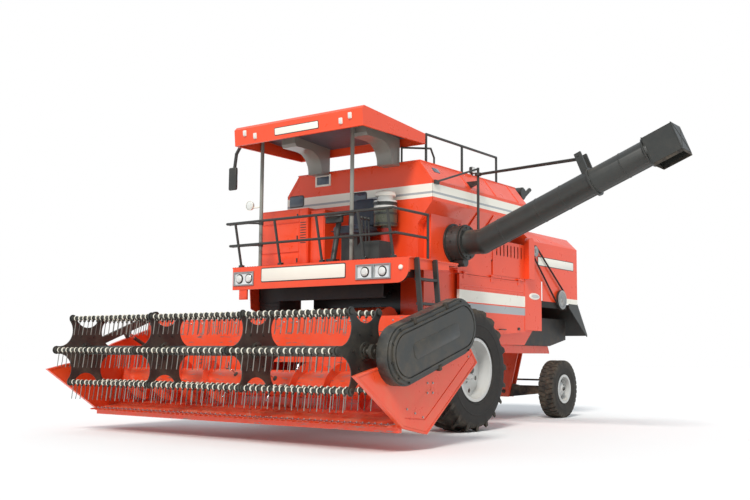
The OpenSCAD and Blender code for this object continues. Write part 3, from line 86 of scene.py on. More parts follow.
class Datum:
    """Where the machine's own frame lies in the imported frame."""

    def __init__(self) -> None:
        """Reads the middle plane from the drive axle and y = 0 from the left drive tyre."""
        axle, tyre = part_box("drive_axle"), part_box("drive_tyre_left")
        self.offset = np.array([(axle[0].x + axle[1].x) / 2, (tyre[0].y + tyre[1].y) / 2, 0.0])

    def place(self, points: Array | Sequence[Point]) -> Array:
        """Machine millimetres to packed metres.

        Args:
            points: one point or many, in millimetres.

        Returns:
            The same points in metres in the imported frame.
        """
        return np.asarray(points, float) / MM_PER_M + self.offset


DATUM = Datum()


# Surfaces
@dataclass
class Surface:
    """Points and faces of a piece, in machine millimetres, before it becomes a mesh."""

    points: Array
    faces: list[Array]

    def moved(self, by: Sequence[float]) -> "Surface":
        """The surface shifted by a vector."""
        return Surface(self.points + np.asarray(by, float), self.faces)

    def turned(self, matrix: Matrix) -> "Surface":
        """The surface with each point multiplied by a 4 by 4 matrix."""
        m = np.array(matrix)
        return Surface(self.points @ m[:3, :3].T + m[:3, 3], self.faces)

    def mirrored(self) -> "Surface":
        """The surface reflected in the plane x = 0, its faces turned round to point outwards."""
        return Surface(self.points * [-1.0, 1.0, 1.0], [f[:, ::-1] for f in self.faces])

    def on(self, side: Side) -> "Surface":
        """A surface made on the left, as it is or reflected to the right."""
        return self if side is Side.LEFT else self.mirrored()

    def both(self) -> "Surface":
        """A surface made on the left, with its reflection on the right."""
        return joined([self, self.mirrored()])

    def repeated(self, places: Array) -> "Surface":
        """Copies of the surface, one for each matrix in places.

        Args:
            places: k matrices of 4 by 4.

        Returns:
            One surface with k times the points and faces.
        """
        ones = np.c_[self.points, np.ones(len(self.points))]
        points = np.einsum("kij,nj->kni", places, ones)[..., :3].reshape(-1, 3)
        shift = np.arange(len(places))[:, None, None] * len(self.points)
        return Surface(points, [(f[None] + shift).reshape(-1, f.shape[1]) for f in self.faces])


def joined(parts: Sequence[Surface]) -> Surface:
    """Several surfaces as one, with the face numbers of each shifted past the points before it.

    Args:
        parts: the surfaces.

    Returns:
        One surface.
    """
    starts = np.cumsum([0] + [len(p.points) for p in parts])
    faces = [f + start for p, start in zip(parts, starts) for f in p.faces]
    return Surface(np.concatenate([p.points for p in parts]), faces)


def capped(body: Surface, count: int) -> Surface:
    """A tube of rings with a flat face over its first ring and over its last, which has count points too."""
    ring = np.arange(count)[None]
    return Surface(body.points, body.faces + [ring[:, ::-1], ring + len(body.points) - count])


def grid(points: Array, wrap_u: bool = False, wrap_v: bool = False) -> Surface:
    """A net of points as four-sided faces: each face joins a point to its next in u, in v and in both.

    Args:
        points: array of shape (nu, nv, 3).
        wrap_u: whether the last row meets the first.
        wrap_v: whether the last column meets the first.

    Returns:
        The surface.
    """
    nu, nv = points.shape[:2]
    number = np.arange(nu * nv).reshape(nu, nv)
    if wrap_u:
        number = np.vstack([number, number[:1]])
    if wrap_v:
        number = np.hstack([number, number[:, :1]])
    quads = np.stack([number[:-1, :-1], number[1:, :-1], number[1:, 1:], number[:-1, 1:]], -1)
    return Surface(points.reshape(-1, 3), [quads.reshape(-1, 4)])


def revolved(profile: Outline, axis: Axis, centre: Point, steps: int = 48, closed: bool = False) -> Surface:
    """A profile turned round an axis: a point (along, radius) goes to radius times (cos, sin) of each angle.

    Args:
        profile: pairs of place along the axis and distance from it.
        axis: the axis that it turns round.
        centre: where the axis passes and the profile's zero lies.
        steps: number of angles.
        closed: whether the profile's last point meets its first.

    Returns:
        The surface.
    """
    p = np.asarray(profile, float)
    a = np.linspace(0, 2 * np.pi, steps, endpoint=False)[:, None]
    along = np.broadcast_to(p[:, 0], (steps, len(p)))
    across = [np.cos(a) * p[:, 1], np.sin(a) * p[:, 1]]
    columns = np.roll(np.stack([along, *across], -1), axis.value, axis=-1)
    return grid(columns + np.asarray(centre, float), True, closed)


def tube(path: Sequence[Point], radius: float, sides: int = 12) -> Surface:
    """A round tube carried along a path: each ring is cos and sin of an angle on two vectors square to it.

    Args:
        path: the points of the tube's middle line.
        radius: the tube's radius.
        sides: points in a ring.

    Returns:
        The surface, closed at both ends by shrunken rings.
    """
    p = np.asarray(path, float)
    t = np.gradient(p, axis=0)
    t /= np.linalg.norm(t, axis=1, keepdims=True)
    up = np.where(np.abs(t[:, 2:3]) > 0.9, [[1.0, 0.0, 0.0]], [[0.0, 0.0, 1.0]])
    side = np.cross(t, up)
    side /= np.linalg.norm(side, axis=1, keepdims=True)
    top = np.cross(side, t)
    a = np.linspace(0, 2 * np.pi, sides, endpoint=False)
    ring = np.cos(a)[None, :, None] * side[:, None] + np.sin(a)[None, :, None] * top[:, None]
    rows = p[:, None] + radius * ring
    rows = np.concatenate([np.repeat(p[:1, None], sides, 1), rows, np.repeat(p[-1:, None], sides, 1)])
    return grid(rows, False, True)


def rounded_box(low: Point, high: Point, radius: float, steps: int = 2) -> Surface:
    """A box with rounded edges: a sphere's eight parts pushed out to the box's corners.

    Args:
        low: lowest corner.
        high: highest corner.
        radius: edge radius.
        steps: faces along a quarter of a rounded edge.

    Returns:
        The surface.
    """
    low, high = np.asarray(low, float), np.asarray(high, float)
    radius = min(radius, 0.499 * float((high - low).min()))
    core, middle = (high - low) / 2 - radius, (high + low) / 2
    quarter = np.linspace(0, np.pi / 2, steps + 1)
    lon = np.concatenate([quarter + k * np.pi / 2 for k in range(4)])
    sx, sy = (np.repeat(s, steps + 1) for s in ([1, -1, -1, 1], [1, 1, -1, -1]))
    lat = np.concatenate([quarter - np.pi / 2, quarter])
    sz = np.repeat([-1, 1], steps + 1)
    c, s = np.cos(lat)[:, None], np.sin(lat)[:, None]
    x = sx * core[0] + radius * c * np.cos(lon)
    y = sy * core[1] + radius * c * np.sin(lon)
    z = sz[:, None] * core[2] + radius * s * np.ones_like(lon)
    body = grid(np.stack([x, y, z], -1) + middle, False, True)
    n = len(lon)
    corners = (steps + 1) * np.arange(4)
    caps = np.stack([corners[::-1], corners + (len(lat) - 1) * n])
    return Surface(body.points, [body.faces[0][:, ::-1], caps])


def prism(outline: Outline, axis: Axis, start: float, end: float) -> Surface:
    """A flat outline pushed along an axis: the same points at both ends, with the edges joined.

    Args:
        outline: points in the two other axes, in their cyclic order.
        axis: the axis that it is pushed along.
        start: where it starts on the axis.
        end: where it ends on the axis.

    Returns:
        The surface.
    """
    p = np.asarray(outline, float)
    rows = np.stack([np.c_[np.full(len(p), v), p] for v in (start, end)])
    return capped(grid(np.roll(rows, axis.value, axis=-1), False, True), len(p))


def facing(points: Array, normal: Point) -> Array:
    """Matrices that carry a form standing on z = 0 to each point, with z along the normal.

    Args:
        points: array of shape (k, 3).
        normal: the direction that each copy faces.

    Returns:
        k matrices of 4 by 4.
    """
    n = np.asarray(normal, float) / np.linalg.norm(normal)
    helper = np.array([0.0, 0.0, 1.0]) if abs(n[2]) < 0.9 else np.array([1.0, 0.0, 0.0])
    side = np.cross(helper, n)
    side /= np.linalg.norm(side)
    made = np.tile(np.eye(4), (len(points), 1, 1))
    made[:, :3, 0], made[:, :3, 1], made[:, :3, 2] = side, np.cross(n, side), n
    made[:, :3, 3] = points
    return made


def bolt_head(across: float) -> Surface:
    """A hexagon head on its washer, standing on z = 0: six sides, its top edge chamfered.

    Args:
        across: the head's width over its corners.

    Returns:
        The surface.
    """
    r, washer_r, washer_h, edge, top = across / 2, 0.675 * across, 0.12 * across, 0.5 * across, 0.6 * across
    washer = revolved([(0, washer_r), (washer_h, washer_r), (washer_h, r)], Axis.Z, ORIGIN, 12)
    head = revolved([(0, r), (edge, r), (top, 0.82 * r), (top, 0)], Axis.Z, ORIGIN, 6)
    return joined([washer, head])


def rivet_head(across: float) -> Surface:
    """A domed rivet head on z = 0: a quarter circle turned round z."""
    a = np.linspace(0, np.pi / 2, 4)
    return revolved(list(zip(0.3 * across * np.sin(a), across / 2 * np.cos(a))), Axis.Z, ORIGIN, 8)


def line_of(start: Point, end: Point, count: int) -> Array:
    """Points at even steps from start to end, both included."""
    return np.linspace(start, end, count)


def ring_of(centre: Point, radius: float, count: int, axis: Axis = Axis.X, first: float = 0.0) -> Array:
    """Points at even angles on a circle.

    Args:
        centre: the circle's middle.
        radius: its radius.
        count: number of points.
        axis: the axis that it lies round.
        first: angle of the first point, in degrees.

    Returns:
        Array of shape (count, 3).
    """
    a = np.radians(first) + np.linspace(0, 2 * np.pi, count, endpoint=False)
    flat = np.stack([np.zeros(count), radius * np.cos(a), radius * np.sin(a)], -1)
    return np.roll(flat, axis.value, axis=-1) + np.asarray(centre, float)


def standing(head: Surface, groups: Sequence[Group]) -> Surface:
    """A head at each point of groups of points, each group with the direction that its heads face."""
    return joined([head.repeated(facing(points, normal)) for points, normal in groups])


def bolts(across: float, groups: Sequence[Group]) -> Surface:
    """Hexagon heads at groups of points."""
    return standing(bolt_head(across), groups)


def rivets(across: float, groups: Sequence[Group]) -> Surface:
    """Rivet heads at groups of points."""
    return standing(rivet_head(across), groups)


def moulding(corners: Sequence[Point], profile: Outline, normal: Point) -> Surface:
    """A profile carried round a flat loop with mitred corners.

    Each corner's ring lies on the line that halves its angle, so the profile keeps its width on both legs.

    Args:
        corners: the loop's corners, in order.
        profile: closed row of (outwards, up) pairs; outwards is right of the loop, seen from the normal.
        normal: the direction that the loop's plane faces.

    Returns:
        The surface.
    """
    c, n = np.asarray(corners, float), np.asarray(normal, float) / np.linalg.norm(normal)
    ahead = np.roll(c, -1, axis=0) - c
    ahead /= np.linalg.norm(ahead, axis=1, keepdims=True)
    side_a, side_b = np.cross(np.roll(ahead, 1, axis=0), n), np.cross(ahead, n)
    mitre = (side_a + side_b) / (1 + (side_a * side_b).sum(1, keepdims=True))
    p = np.asarray(profile, float)
    return grid(c[:, None] + mitre[:, None] * p[None, :, :1] + n * p[None, :, 1:], True, True)


def circle_profile(radius: float, sides: int = 10) -> list[tuple[float, float]]:
    """Points on a circle round zero, for a moulding that is a round bar."""
    a = np.linspace(0, 2 * np.pi, sides, endpoint=False)
    return list(zip(radius * np.cos(a), radius * np.sin(a)))


def slab(axis: Axis, low: tuple[float, float], high: tuple[float, float], back: float, front: float,
         radius: float = 8.0, soft: float = 2.0) -> Surface:
    """A flat plate with rounded corners and a softened front edge: four rings, the last two inset.

    Args:
        axis: the axis that it is thin along.
        low: lowest corner in the two other axes, in their cyclic order.
        high: highest corner.
        back: where its back lies on the axis.
        front: where its front lies.
        radius: corner radius.
        soft: width of the softened edge.

    Returns:
        The surface.
    """
    edge = soft if front > back else -soft
    places = np.array([back, front - edge, front - 0.3 * edge, front])
    inset = np.array([0.0, 0.0, 0.3 * soft, soft])[:, None]
    turn = np.concatenate([np.linspace(0, np.pi / 2, 4) + k * np.pi / 2 for k in range(4)])
    # The middle of each corner's arc doesn't move with the inset, because the arc's radius shrinks by as much
    u = np.repeat([high[0] - radius, low[0] + radius, low[0] + radius, high[0] - radius], 4)
    v = np.repeat([high[1] - radius, high[1] - radius, low[1] + radius, low[1] + radius], 4)
    rows = [np.repeat(places[:, None], 16, 1), u + (radius - inset) * np.cos(turn),
            v + (radius - inset) * np.sin(turn)]
    return capped(grid(np.roll(np.stack(rows, -1), axis.value, axis=-1), False, True), 16)


def framed(axis: Axis, low: tuple[float, float], high: tuple[float, float], back: float,
           fronts: tuple[float, float], radii: tuple[float, float], rim: float) -> tuple[Surface, Surface]:
    """A blank plate and the wider border behind it.

    Args:
        axis: the axis that both are thin along.
        low: the plate's lowest corner in the two other axes, in their cyclic order.
        high: its highest corner.
        back: where the back of both lies on the axis.
        fronts: where the front of the plate and of the border lies.
        radii: corner radius of the plate and of the border.
        rim: how far the border is wider all round.

    Returns:
        The plate and the border.
    """
    wide_low, wide_high = (low[0] - rim, low[1] - rim), (high[0] + rim, high[1] + rim)
    return (slab(axis, low, high, back, fronts[0], radii[0]),
            slab(axis, wide_low, wide_high, back, fronts[1], radii[1]))


def net(u0: float, u1: float, nu: int, v0: float, v1: float, nv: int) -> list[Array]:
    """Two arrays with u in even steps along the first axis and v along the second."""
    return np.meshgrid(np.linspace(u0, u1, nu), np.linspace(v0, v1, nv), indexing="ij")


def dish(centre: Point, half: tuple[float, float], depth: float, bowls: int, axis: Axis,
         way: float) -> Surface:
    """A lamp's reflector: a flat field with round bowls in it.

    Inside its own radius R a bowl is a paraboloid, as deep as depth times 1 minus (r over R) squared.

    Args:
        centre: middle of its front.
        half: half sizes in the two other axes, in their cyclic order.
        depth: depth of a bowl.
        bowls: number of bowls in a row along the longer side.
        axis: the axis that it faces.
        way: 1 or -1, which way it faces.

    Returns:
        The surface.
    """
    u, v = net(-half[0], half[0], 25, -half[1], half[1], 49)
    pitch = 2 * half[1] / bowls
    radius = 0.92 * min(half[0], pitch / 2)
    offset = np.mod(v + half[1], pitch) - pitch / 2
    sunk = depth * np.clip(1 - (u ** 2 + offset ** 2) / radius ** 2, 0, None)
    points = np.roll(np.stack([-way * sunk, u, v], -1), axis.value, axis=-1)
    return grid(points + np.asarray(centre, float))


def power(value: Array, exponent: float) -> Array:
    """The value's size to the exponent, with its sign kept."""
    return np.sign(value) * np.abs(value) ** exponent


def cushion(low: Point, high: Point, squareness: float, seams: Sequence[float], depth: float,
            width: float = 9.0) -> Surface:
    """An upholstered pad, pulled in along its seams.

    It is a superellipsoid, whose sections are squares with rounded corners. A seam pulls it in by depth
    times exp of minus the squared share of the distance from the seam in the seam's width.

    Args:
        low: lowest corner.
        high: highest corner.
        squareness: 0.2 is nearly a box, 1 is an ellipsoid.
        seams: places of the seams along x.
        depth: how far a seam is pulled in.
        width: how far from a seam the pull has fallen to a third.

    Returns:
        The surface.
    """
    low, high = np.asarray(low, float), np.asarray(high, float)
    steps = 72
    lon, lat = net(0, 2 * np.pi * (steps - 1) / steps, steps, -np.pi / 2, np.pi / 2, 36)
    level = power(np.cos(lat), squareness)
    unit = np.stack([level * power(np.cos(lon), squareness), level * power(np.sin(lon), squareness),
                     power(np.sin(lat), squareness)], -1)
    half, middle = (high - low) / 2, (high + low) / 2
    x = unit[..., 0] * half[0] + middle[0]
    pull = sum(np.exp(-((x - s) / width) ** 2) for s in seams)
    shrink = depth * np.asarray(pull)[..., None] / half * [0.0, 1.0, 1.0]
    return grid(middle + unit * half * (1 - shrink), True, False)


# Finishes
def linear(colour: str, alpha: float = 1.0) -> tuple[float, float, float, float]:
    """An sRGB hex colour as linear light: each channel by the sRGB curve.

    Args:
        colour: such as "#EE4A1E".
        alpha: the fourth number.

    Returns:
        Red, green, blue and alpha.
    """
    channels = [int(colour[i:i + 2], 16) / 255 for i in (1, 3, 5)]
    return (*[c / 12.92 if c <= 0.04045 else ((c + 0.055) / 1.055) ** 2.4 for c in channels], alpha)


def wire(tree: bpy.types.NodeTree, node: bpy.types.Node, values: dict | None = None,
         links: dict | None = None) -> None:
    """Sets a node's socket values and links.

    Args:
        tree: the material's node tree.
        node: the node.
        values: socket name or number to value.
        links: socket name or number to what feeds it, an output or a node for its first output.
    """
    for key, value in (values or {}).items():
        node.inputs[key].default_value = value
    for key, source in (links or {}).items():
        output = source.outputs[0] if isinstance(source, bpy.types.Node) else source
        tree.links.new(output, node.inputs[key])


def add(tree: bpy.types.NodeTree, kind: str, values: dict | None = None, links: dict | None = None,
        **settings: object) -> bpy.types.Node:
    """Adds one node with its settings, socket values and links.

    Args:
        tree: the material's node tree.
        kind: the node's type name without its ShaderNode prefix.
        values: socket name or number to value.
        links: socket name or number to what feeds it, an output or a node for its first output.
        **settings: the node's own properties.

    Returns:
        The node.
    """
    node = tree.nodes.new("ShaderNode" + kind)
    for key, value in settings.items():
        setattr(node, key, value)
    wire(tree, node, values, links)
    return node


class Slot(Enum):
    """Names of material slots; each finish keeps one."""

    ORANGE = "orange_paint"
    CHARCOAL = "charcoal_paint"
    TYRE = "tyre_rubber"
    BRIGHT = "bright_steel"
    SEAT = "seat_cover"
    LENS = "lamp_lens"
    CANISTER = "canister"


@dataclass(frozen=True)
class Band:
    """A painted band: the colour between limits on each axis, in machine millimetres."""

    colour: str
    x: tuple[float, float] | None = None
    y: tuple[float, float] | None = None
    z: tuple[float, float] | None = None


@dataclass(frozen=True)
class Finish:
    """What every finish shares: its name, its main colour and its slot."""

    name: str
    colour: str
    slot: Slot = Slot.ORANGE

    def start(self) -> tuple[bpy.types.Material, bpy.types.NodeTree, bpy.types.Node]:
        """Starts a material.

        Returns:
            The material, its emptied tree and the Principled shader on its output.
        """
        material = bpy.data.materials.new(self.name)
        material.use_nodes = True
        material.diffuse_color = linear(self.colour)
        tree = material.node_tree
        tree.nodes.clear()
        shader = add(tree, "BsdfPrincipled")
        add(tree, "OutputMaterial", links={"Surface": shader})
        return material, tree, shader

    def build(self) -> bpy.types.Material:
        """Makes the material; each kind of finish has its own."""
        raise NotImplementedError

    def material(self) -> bpy.types.Material:
        """The material, made on its first use."""
        return bpy.data.materials.get(self.name) or self.build()

    def reach(self, tree: bpy.types.NodeTree, where: bpy.types.NodeSocket,
              axle: tuple[float, float]) -> bpy.types.NodeSocket:
        """Distance from an axle that lies along x, in metres.

        Args:
            tree: the material's node tree.
            where: the output that gives the place.
            axle: the axle's y and z in machine millimetres.

        Returns:
            The distance's output.
        """
        _, y, z = DATUM.place([0.0, *axle])
        moved = add(tree, "VectorMath", {1: (0.0, y, z)}, {0: where}, operation="SUBTRACT")
        flat = add(tree, "VectorMath", {1: (0.0, 1.0, 1.0)}, {0: moved}, operation="MULTIPLY")
        return add(tree, "VectorMath", links={0: flat}, operation="LENGTH").outputs["Value"]


@dataclass(frozen=True)
class Enamel(Finish):
    """Sprayed and baked enamel on sheet steel: an even glossy colour, a little dust low down and on ledges,
    panels that are never quite flat, and bright scratches where crop or boots rub."""

    roughness: float = 0.3
    coat: float = 0.35
    dust: float = 0.3
    wear: float = 0.0
    bands: tuple[Band, ...] = ()
    dust_colour: str = "#B79F7E"
    bare_colour: str = "#8B8984"

    def banded(self, tree: bpy.types.NodeTree, split: bpy.types.Node) -> bpy.types.Node | None:
        """The colour with its bands: each covers what lies between its limits on every axis that it limits.

        Args:
            tree: the material's node tree.
            split: the node that gives x, y and z.

        Returns:
            The last band's node, or None where there is no band.
        """
        colour = None
        for band in self.bands:
            inside = None
            for axis, limits in enumerate((band.x, band.y, band.z)):
                if limits is None:
                    continue
                low, high = (v / MM_PER_M + DATUM.offset[axis] for v in limits)
                test = add(tree, "Math", {1: (low + high) / 2, 2: (high - low) / 2}, {0: split.outputs[axis]},
                           operation="COMPARE")
                inside = test if inside is None else add(tree, "Math", links={0: inside, 1: test},
                                                         operation="MULTIPLY")
            under = {} if colour is None else {"Color1": colour}
            colour = add(tree, "MixRGB", {"Color1": linear(self.colour), "Color2": linear(band.colour)},
                         {"Fac": inside, **under})
        return colour

    def build(self) -> bpy.types.Material:
        """Colour, painted bands, dust by height and slope, scratches, waviness and gloss.

        Returns:
            The material.
        """
        material, tree, shader = self.start()
        place = add(tree, "TexCoord")
        where = {"Vector": place.outputs["Object"]}
        split = add(tree, "SeparateXYZ", links=where)
        fade = add(tree, "TexNoise", {"Scale": 1.1, "Detail": 3.0, "Roughness": 0.55}, where)
        shift = add(tree, "MapRange", {"To Min": 0.93, "To Max": 1.07}, {"Value": fade.outputs["Fac"]})
        colour = self.banded(tree, split)
        under = {} if colour is None else {"Color": colour}
        toned = add(tree, "HueSaturation", {"Color": linear(self.colour)},
                    {"Value": shift, **under})
        # Dust: thick near the ground and on faces that look up, in patches about 150 mm wide
        patch = add(tree, "TexNoise", {"Scale": 6.5, "Detail": 6.0, "Roughness": 0.65}, where)
        slope = add(tree, "SeparateXYZ", links={"Vector": place.outputs["Normal"]})
        ledge = add(tree, "MapRange", {"From Min": 0.55, "From Max": 1.0, "To Max": 0.6},
                    {"Value": slope.outputs["Z"]})
        low = add(tree, "MapRange", {"From Min": 0.2, "From Max": 1.5, "To Min": 0.55, "To Max": 0.05},
                  {"Value": split.outputs["Z"]})
        both = add(tree, "Math", links={0: ledge, 1: low}, operation="ADD")
        spots = add(tree, "MapRange", {"From Min": 0.42, "From Max": 0.7}, {"Value": patch.outputs["Fac"]})
        thick = add(tree, "Math", links={0: both, 1: spots}, operation="MULTIPLY")
        amount = add(tree, "Math", {1: self.dust}, {0: thick}, operation="MULTIPLY")
        dusty = add(tree, "MixRGB", {"Color2": linear(self.dust_colour)},
                    {"Fac": amount, "Color1": toned})
        base = dusty
        if self.wear > 0:
            # Scratches: long thin marks, about 4 mm wide and 150 mm long, coarser than real ones to show
            stretch = add(tree, "Mapping", {"Scale": (6.0, 90.0, 40.0)}, where)
            marks = add(tree, "TexNoise", {"Scale": 1.0, "Detail": 5.0}, {"Vector": stretch})
            start = 0.66 - 0.1 * self.wear
            cut = add(tree, "MapRange", {"From Min": start, "From Max": start + 0.06, "To Max": 0.8},
                      {"Value": marks.outputs["Fac"]})
            bare = add(tree, "MixRGB", {"Color2": linear(self.bare_colour)},
                       {"Fac": cut, "Color1": base})
            base = bare
            wire(tree, shader, links={"Metallic": cut})
        gloss = add(tree, "MapRange", {"From Min": 0.3, "From Max": 0.7, "To Min": self.roughness - 0.05,
                                       "To Max": self.roughness + 0.08}, {"Value": patch.outputs["Fac"]})
        dull = add(tree, "Math", {1: 0.6}, {0: amount, 2: gloss},
                   operation="MULTIPLY_ADD")
        # Sheet waviness, swells about 400 mm across and 1 mm high, with spray texture drawn at 20 mm to show
        swell = add(tree, "TexNoise", {"Scale": 2.6, "Detail": 1.0}, where)
        peel = add(tree, "TexNoise", {"Scale": 48.0, "Detail": 1.0}, where)
        waves = add(tree, "Bump", {"Strength": 0.25, "Distance": 0.004}, {"Height": swell.outputs["Fac"]})
        skin = add(tree, "Bump", {"Strength": 0.12, "Distance": 0.0006},
                   {"Height": peel.outputs["Fac"], "Normal": waves})
        wire(tree, shader, {"Coat Weight": self.coat, "Coat Roughness": 0.12},
             {"Base Color": base, "Roughness": dull, "Normal": skin})
        return material


@dataclass(frozen=True)
class Rubber(Finish):
    """Moulded tyre rubber: matt black, with field dust on the tread and shoulders."""

    slot: Slot = Slot.TYRE
    centre: tuple[float, float] = (0.0, 0.0)
    tread: float = 700.0
    dust: float = 0.55
    dust_colour: str = "#7A6C58"

    def build(self) -> bpy.types.Material:
        """Colour by distance from the axle, dust in patches, and a fine moulded grain.

        Returns:
            The material.
        """
        material, tree, shader = self.start()
        where = add(tree, "TexCoord").outputs["Object"]
        radius, tread = self.reach(tree, where, self.centre), self.tread / MM_PER_M
        outer = add(tree, "MapRange", {"From Min": tread - 0.09, "From Max": tread + 0.01, "To Min": 0.12,
                                       "To Max": 1.0}, {"Value": radius})
        patch = add(tree, "TexNoise", {"Scale": 9.0, "Detail": 7.0, "Roughness": 0.7}, {"Vector": where})
        spots = add(tree, "MapRange", {"From Min": 0.38, "From Max": 0.68}, {"Value": patch.outputs["Fac"]})
        both = add(tree, "Math", links={0: outer, 1: spots}, operation="MULTIPLY")
        amount = add(tree, "Math", {1: self.dust}, {0: both}, operation="MULTIPLY")
        dusty = add(tree, "MixRGB", {"Color1": linear(self.colour), "Color2": linear(self.dust_colour)},
                    {"Fac": amount})
        grain = add(tree, "TexNoise", {"Scale": 120.0, "Detail": 3.0}, {"Vector": where})
        skin = add(tree, "Bump", {"Strength": 0.3, "Distance": 0.001}, {"Height": grain.outputs["Fac"]})
        wire(tree, shader, {"Roughness": 0.82}, {"Base Color": dusty, "Normal": skin})
        return material


@dataclass(frozen=True)
class Steel(Finish):
    """Steel left bright, ground or drawn: fine lines along the work and slight brown staining."""

    slot: Slot = Slot.BRIGHT
    roughness: float = 0.3
    stain: float = 0.3
    stain_colour: str = "#6B5442"
    lines: Point = (40.0, 4.0, 40.0)

    def build(self) -> bpy.types.Material:
        """A metal whose gloss follows stretched noise, with stains in patches about 80 mm wide.

        Returns:
            The material.
        """
        material, tree, shader = self.start()
        where = {"Vector": add(tree, "TexCoord").outputs["Object"]}
        stretch = add(tree, "Mapping", {"Scale": self.lines}, where)
        line = add(tree, "TexNoise", {"Scale": 1.0, "Detail": 4.0}, {"Vector": stretch})
        patch = add(tree, "TexNoise", {"Scale": 12.0, "Detail": 4.0}, where)
        spots = add(tree, "MapRange", {"From Min": 0.5, "From Max": 0.8, "To Max": self.stain},
                    {"Value": patch.outputs["Fac"]})
        tint = add(tree, "MixRGB", {"Color1": linear(self.colour), "Color2": linear(self.stain_colour)},
                   {"Fac": spots})
        gloss = add(tree, "MapRange", {"To Min": self.roughness - 0.08, "To Max": self.roughness + 0.12},
                    {"Value": line.outputs["Fac"]})
        wire(tree, shader, {"Metallic": 1.0}, {"Base Color": tint, "Roughness": gloss})
        return material


@dataclass(frozen=True)
class Vinyl(Finish):
    """Calendered vinyl: a pebbled grain, dull with a soft sheen on the crown."""

    fold_colour: str = "#3A4456"

    def build(self) -> bpy.types.Material:
        """Base colour with a cell pattern as grain, drawn at 5 mm to show where the real one is 1 mm.

        Returns:
            The material.
        """
        material, tree, shader = self.start()
        where = {"Vector": add(tree, "TexCoord").outputs["Object"]}
        cells = add(tree, "TexVoronoi", {"Scale": 200.0}, where)
        patch = add(tree, "TexNoise", {"Scale": 14.0, "Detail": 3.0}, where)
        tone = add(tree, "MixRGB", {"Color1": linear(self.colour), "Color2": linear(self.fold_colour)},
                   {"Fac": patch.outputs["Fac"]})
        skin = add(tree, "Bump", {"Strength": 0.35, "Distance": 0.0008},
                   {"Height": cells.outputs["Distance"]})
        wire(tree, shader, {"Roughness": 0.46, "Sheen Weight": 0.15},
             {"Base Color": tone, "Normal": skin})
        return material


@dataclass(frozen=True)
class Glass(Finish):
    """Pressed or flat glass over what lies behind it: a clear coat, ribbed where it is a lamp's lens."""

    slot: Slot = Slot.LENS
    roughness: float = 0.08
    ribs: float = 0.0
    metallic: float = 0.0
    shade_colour: str = "#59636B"

    def build(self) -> bpy.types.Material:
        """A glossy colour with a wave bump, one rib each 18 mm, wider than the real 6 mm so that it shows.

        Returns:
            The material.
        """
        material, tree, shader = self.start()
        where = {"Vector": add(tree, "TexCoord").outputs["Object"]}
        patch = add(tree, "TexNoise", {"Scale": 20.0, "Detail": 2.0}, where)
        less = add(tree, "MapRange", {"To Max": 0.22}, {"Value": patch.outputs["Fac"]})
        tone = add(tree, "MixRGB", {"Color1": linear(self.colour), "Color2": linear(self.shade_colour)},
                   {"Fac": less})
        wire(tree, shader, {"Roughness": self.roughness, "Metallic": self.metallic, "IOR": 1.5,
                            "Coat Weight": 1.0, "Coat Roughness": 0.03}, {"Base Color": tone})
        if self.ribs > 0:
            wave = add(tree, "TexWave", {"Scale": 17.7}, where, bands_direction="X")
            skin = add(tree, "Bump", {"Strength": self.ribs, "Distance": 0.004},
                       {"Height": wave.outputs["Fac"]})
            wire(tree, shader, links={"Normal": skin})
        return material


@dataclass(frozen=True)
class BatFinish(Finish):
    """A reel bat: charcoal tube, dark nylon tine holders on it and grey spring-steel tines below."""

    axle: tuple[float, float] = (0.0, 0.0)
    tube_r: float = 22.5
    holder_r: float = 31.0
    holder_colour: str = "#3B3A36"
    tine_colour: str = "#7E7C76"
    dust_colour: str = "#A28F72"

    def build(self) -> bpy.types.Material:
        """Colour by distance from the bat's own axis, with light dust.

        Returns:
            The material.
        """
        material, tree, shader = self.start()
        where = add(tree, "TexCoord").outputs["Object"]
        radius = self.reach(tree, where, self.axle)
        off_tube, on_tine = (
            add(tree, "Math", {1: r / MM_PER_M}, {0: radius}, operation="GREATER_THAN")
            for r in (self.tube_r, self.holder_r))
        patch = add(tree, "TexNoise", {"Scale": 11.0, "Detail": 5.0}, {"Vector": where})
        less = add(tree, "MapRange", {"From Min": 0.4, "To Max": 0.25}, {"Value": patch.outputs["Fac"]})
        colour = add(tree, "MixRGB", {"Color1": linear(self.colour), "Color2": linear(self.holder_colour)},
                     {"Fac": off_tube})
        for over, share in ((self.tine_colour, on_tine), (self.dust_colour, less)):
            colour = add(tree, "MixRGB", {"Color2": linear(over)},
                         {"Fac": share, "Color1": colour})
        wire(tree, shader, {"Roughness": 0.45}, {"Base Color": colour})
        return material


# The last colour is painted shade: near-black for the deep shade under the platform.
ORANGE, CREAM, GREY, CHARCOAL, PAINTED_SHADE_BLACK = "#EC4A20", "#EDE8DA", "#A6A9AA", "#2E2F2C", "#1B1918"
BODY_PAINT = Enamel("baked_enamel_orange", ORANGE)
CROP_PAINT = Enamel("baked_enamel_orange_rubbed_by_crop", ORANGE, roughness=0.34, dust=0.5, wear=0.55)
FLOOR_PAINT = Enamel("baked_enamel_orange_walked_on", ORANGE, roughness=0.4, dust=0.8, wear=0.3)
TANK_PAINT = Enamel("baked_enamel_orange_with_cream_stripe", ORANGE, bands=(
    Band(CREAM, z=(2946, 3118)), Band(GREY, z=(2990, 3018)), Band(ORANGE, x=(-1216, 1216), y=(-556, 1946))))
SHIELD_PAINT = Enamel("baked_enamel_orange_with_cream_and_grey_bands", ORANGE, bands=(
    Band(CREAM, z=(1682, 1840)), Band(GREY, z=(1556, 1664))))
HOOD_PAINT = Enamel("baked_enamel_orange_with_cream_hem", ORANGE, bands=(
    Band(CREAM, y=(3440, 4200), z=(1790, 1880)),))
# Painted shade: the near-black band over the thresher's front stands in for the deep shade under the
# platform.
THRESHER_PAINT = Enamel("baked_enamel_orange_with_black_front", ORANGE, bands=(
    Band(PAINTED_SHADE_BLACK, x=(-960, 560), y=(-900, -314)),))
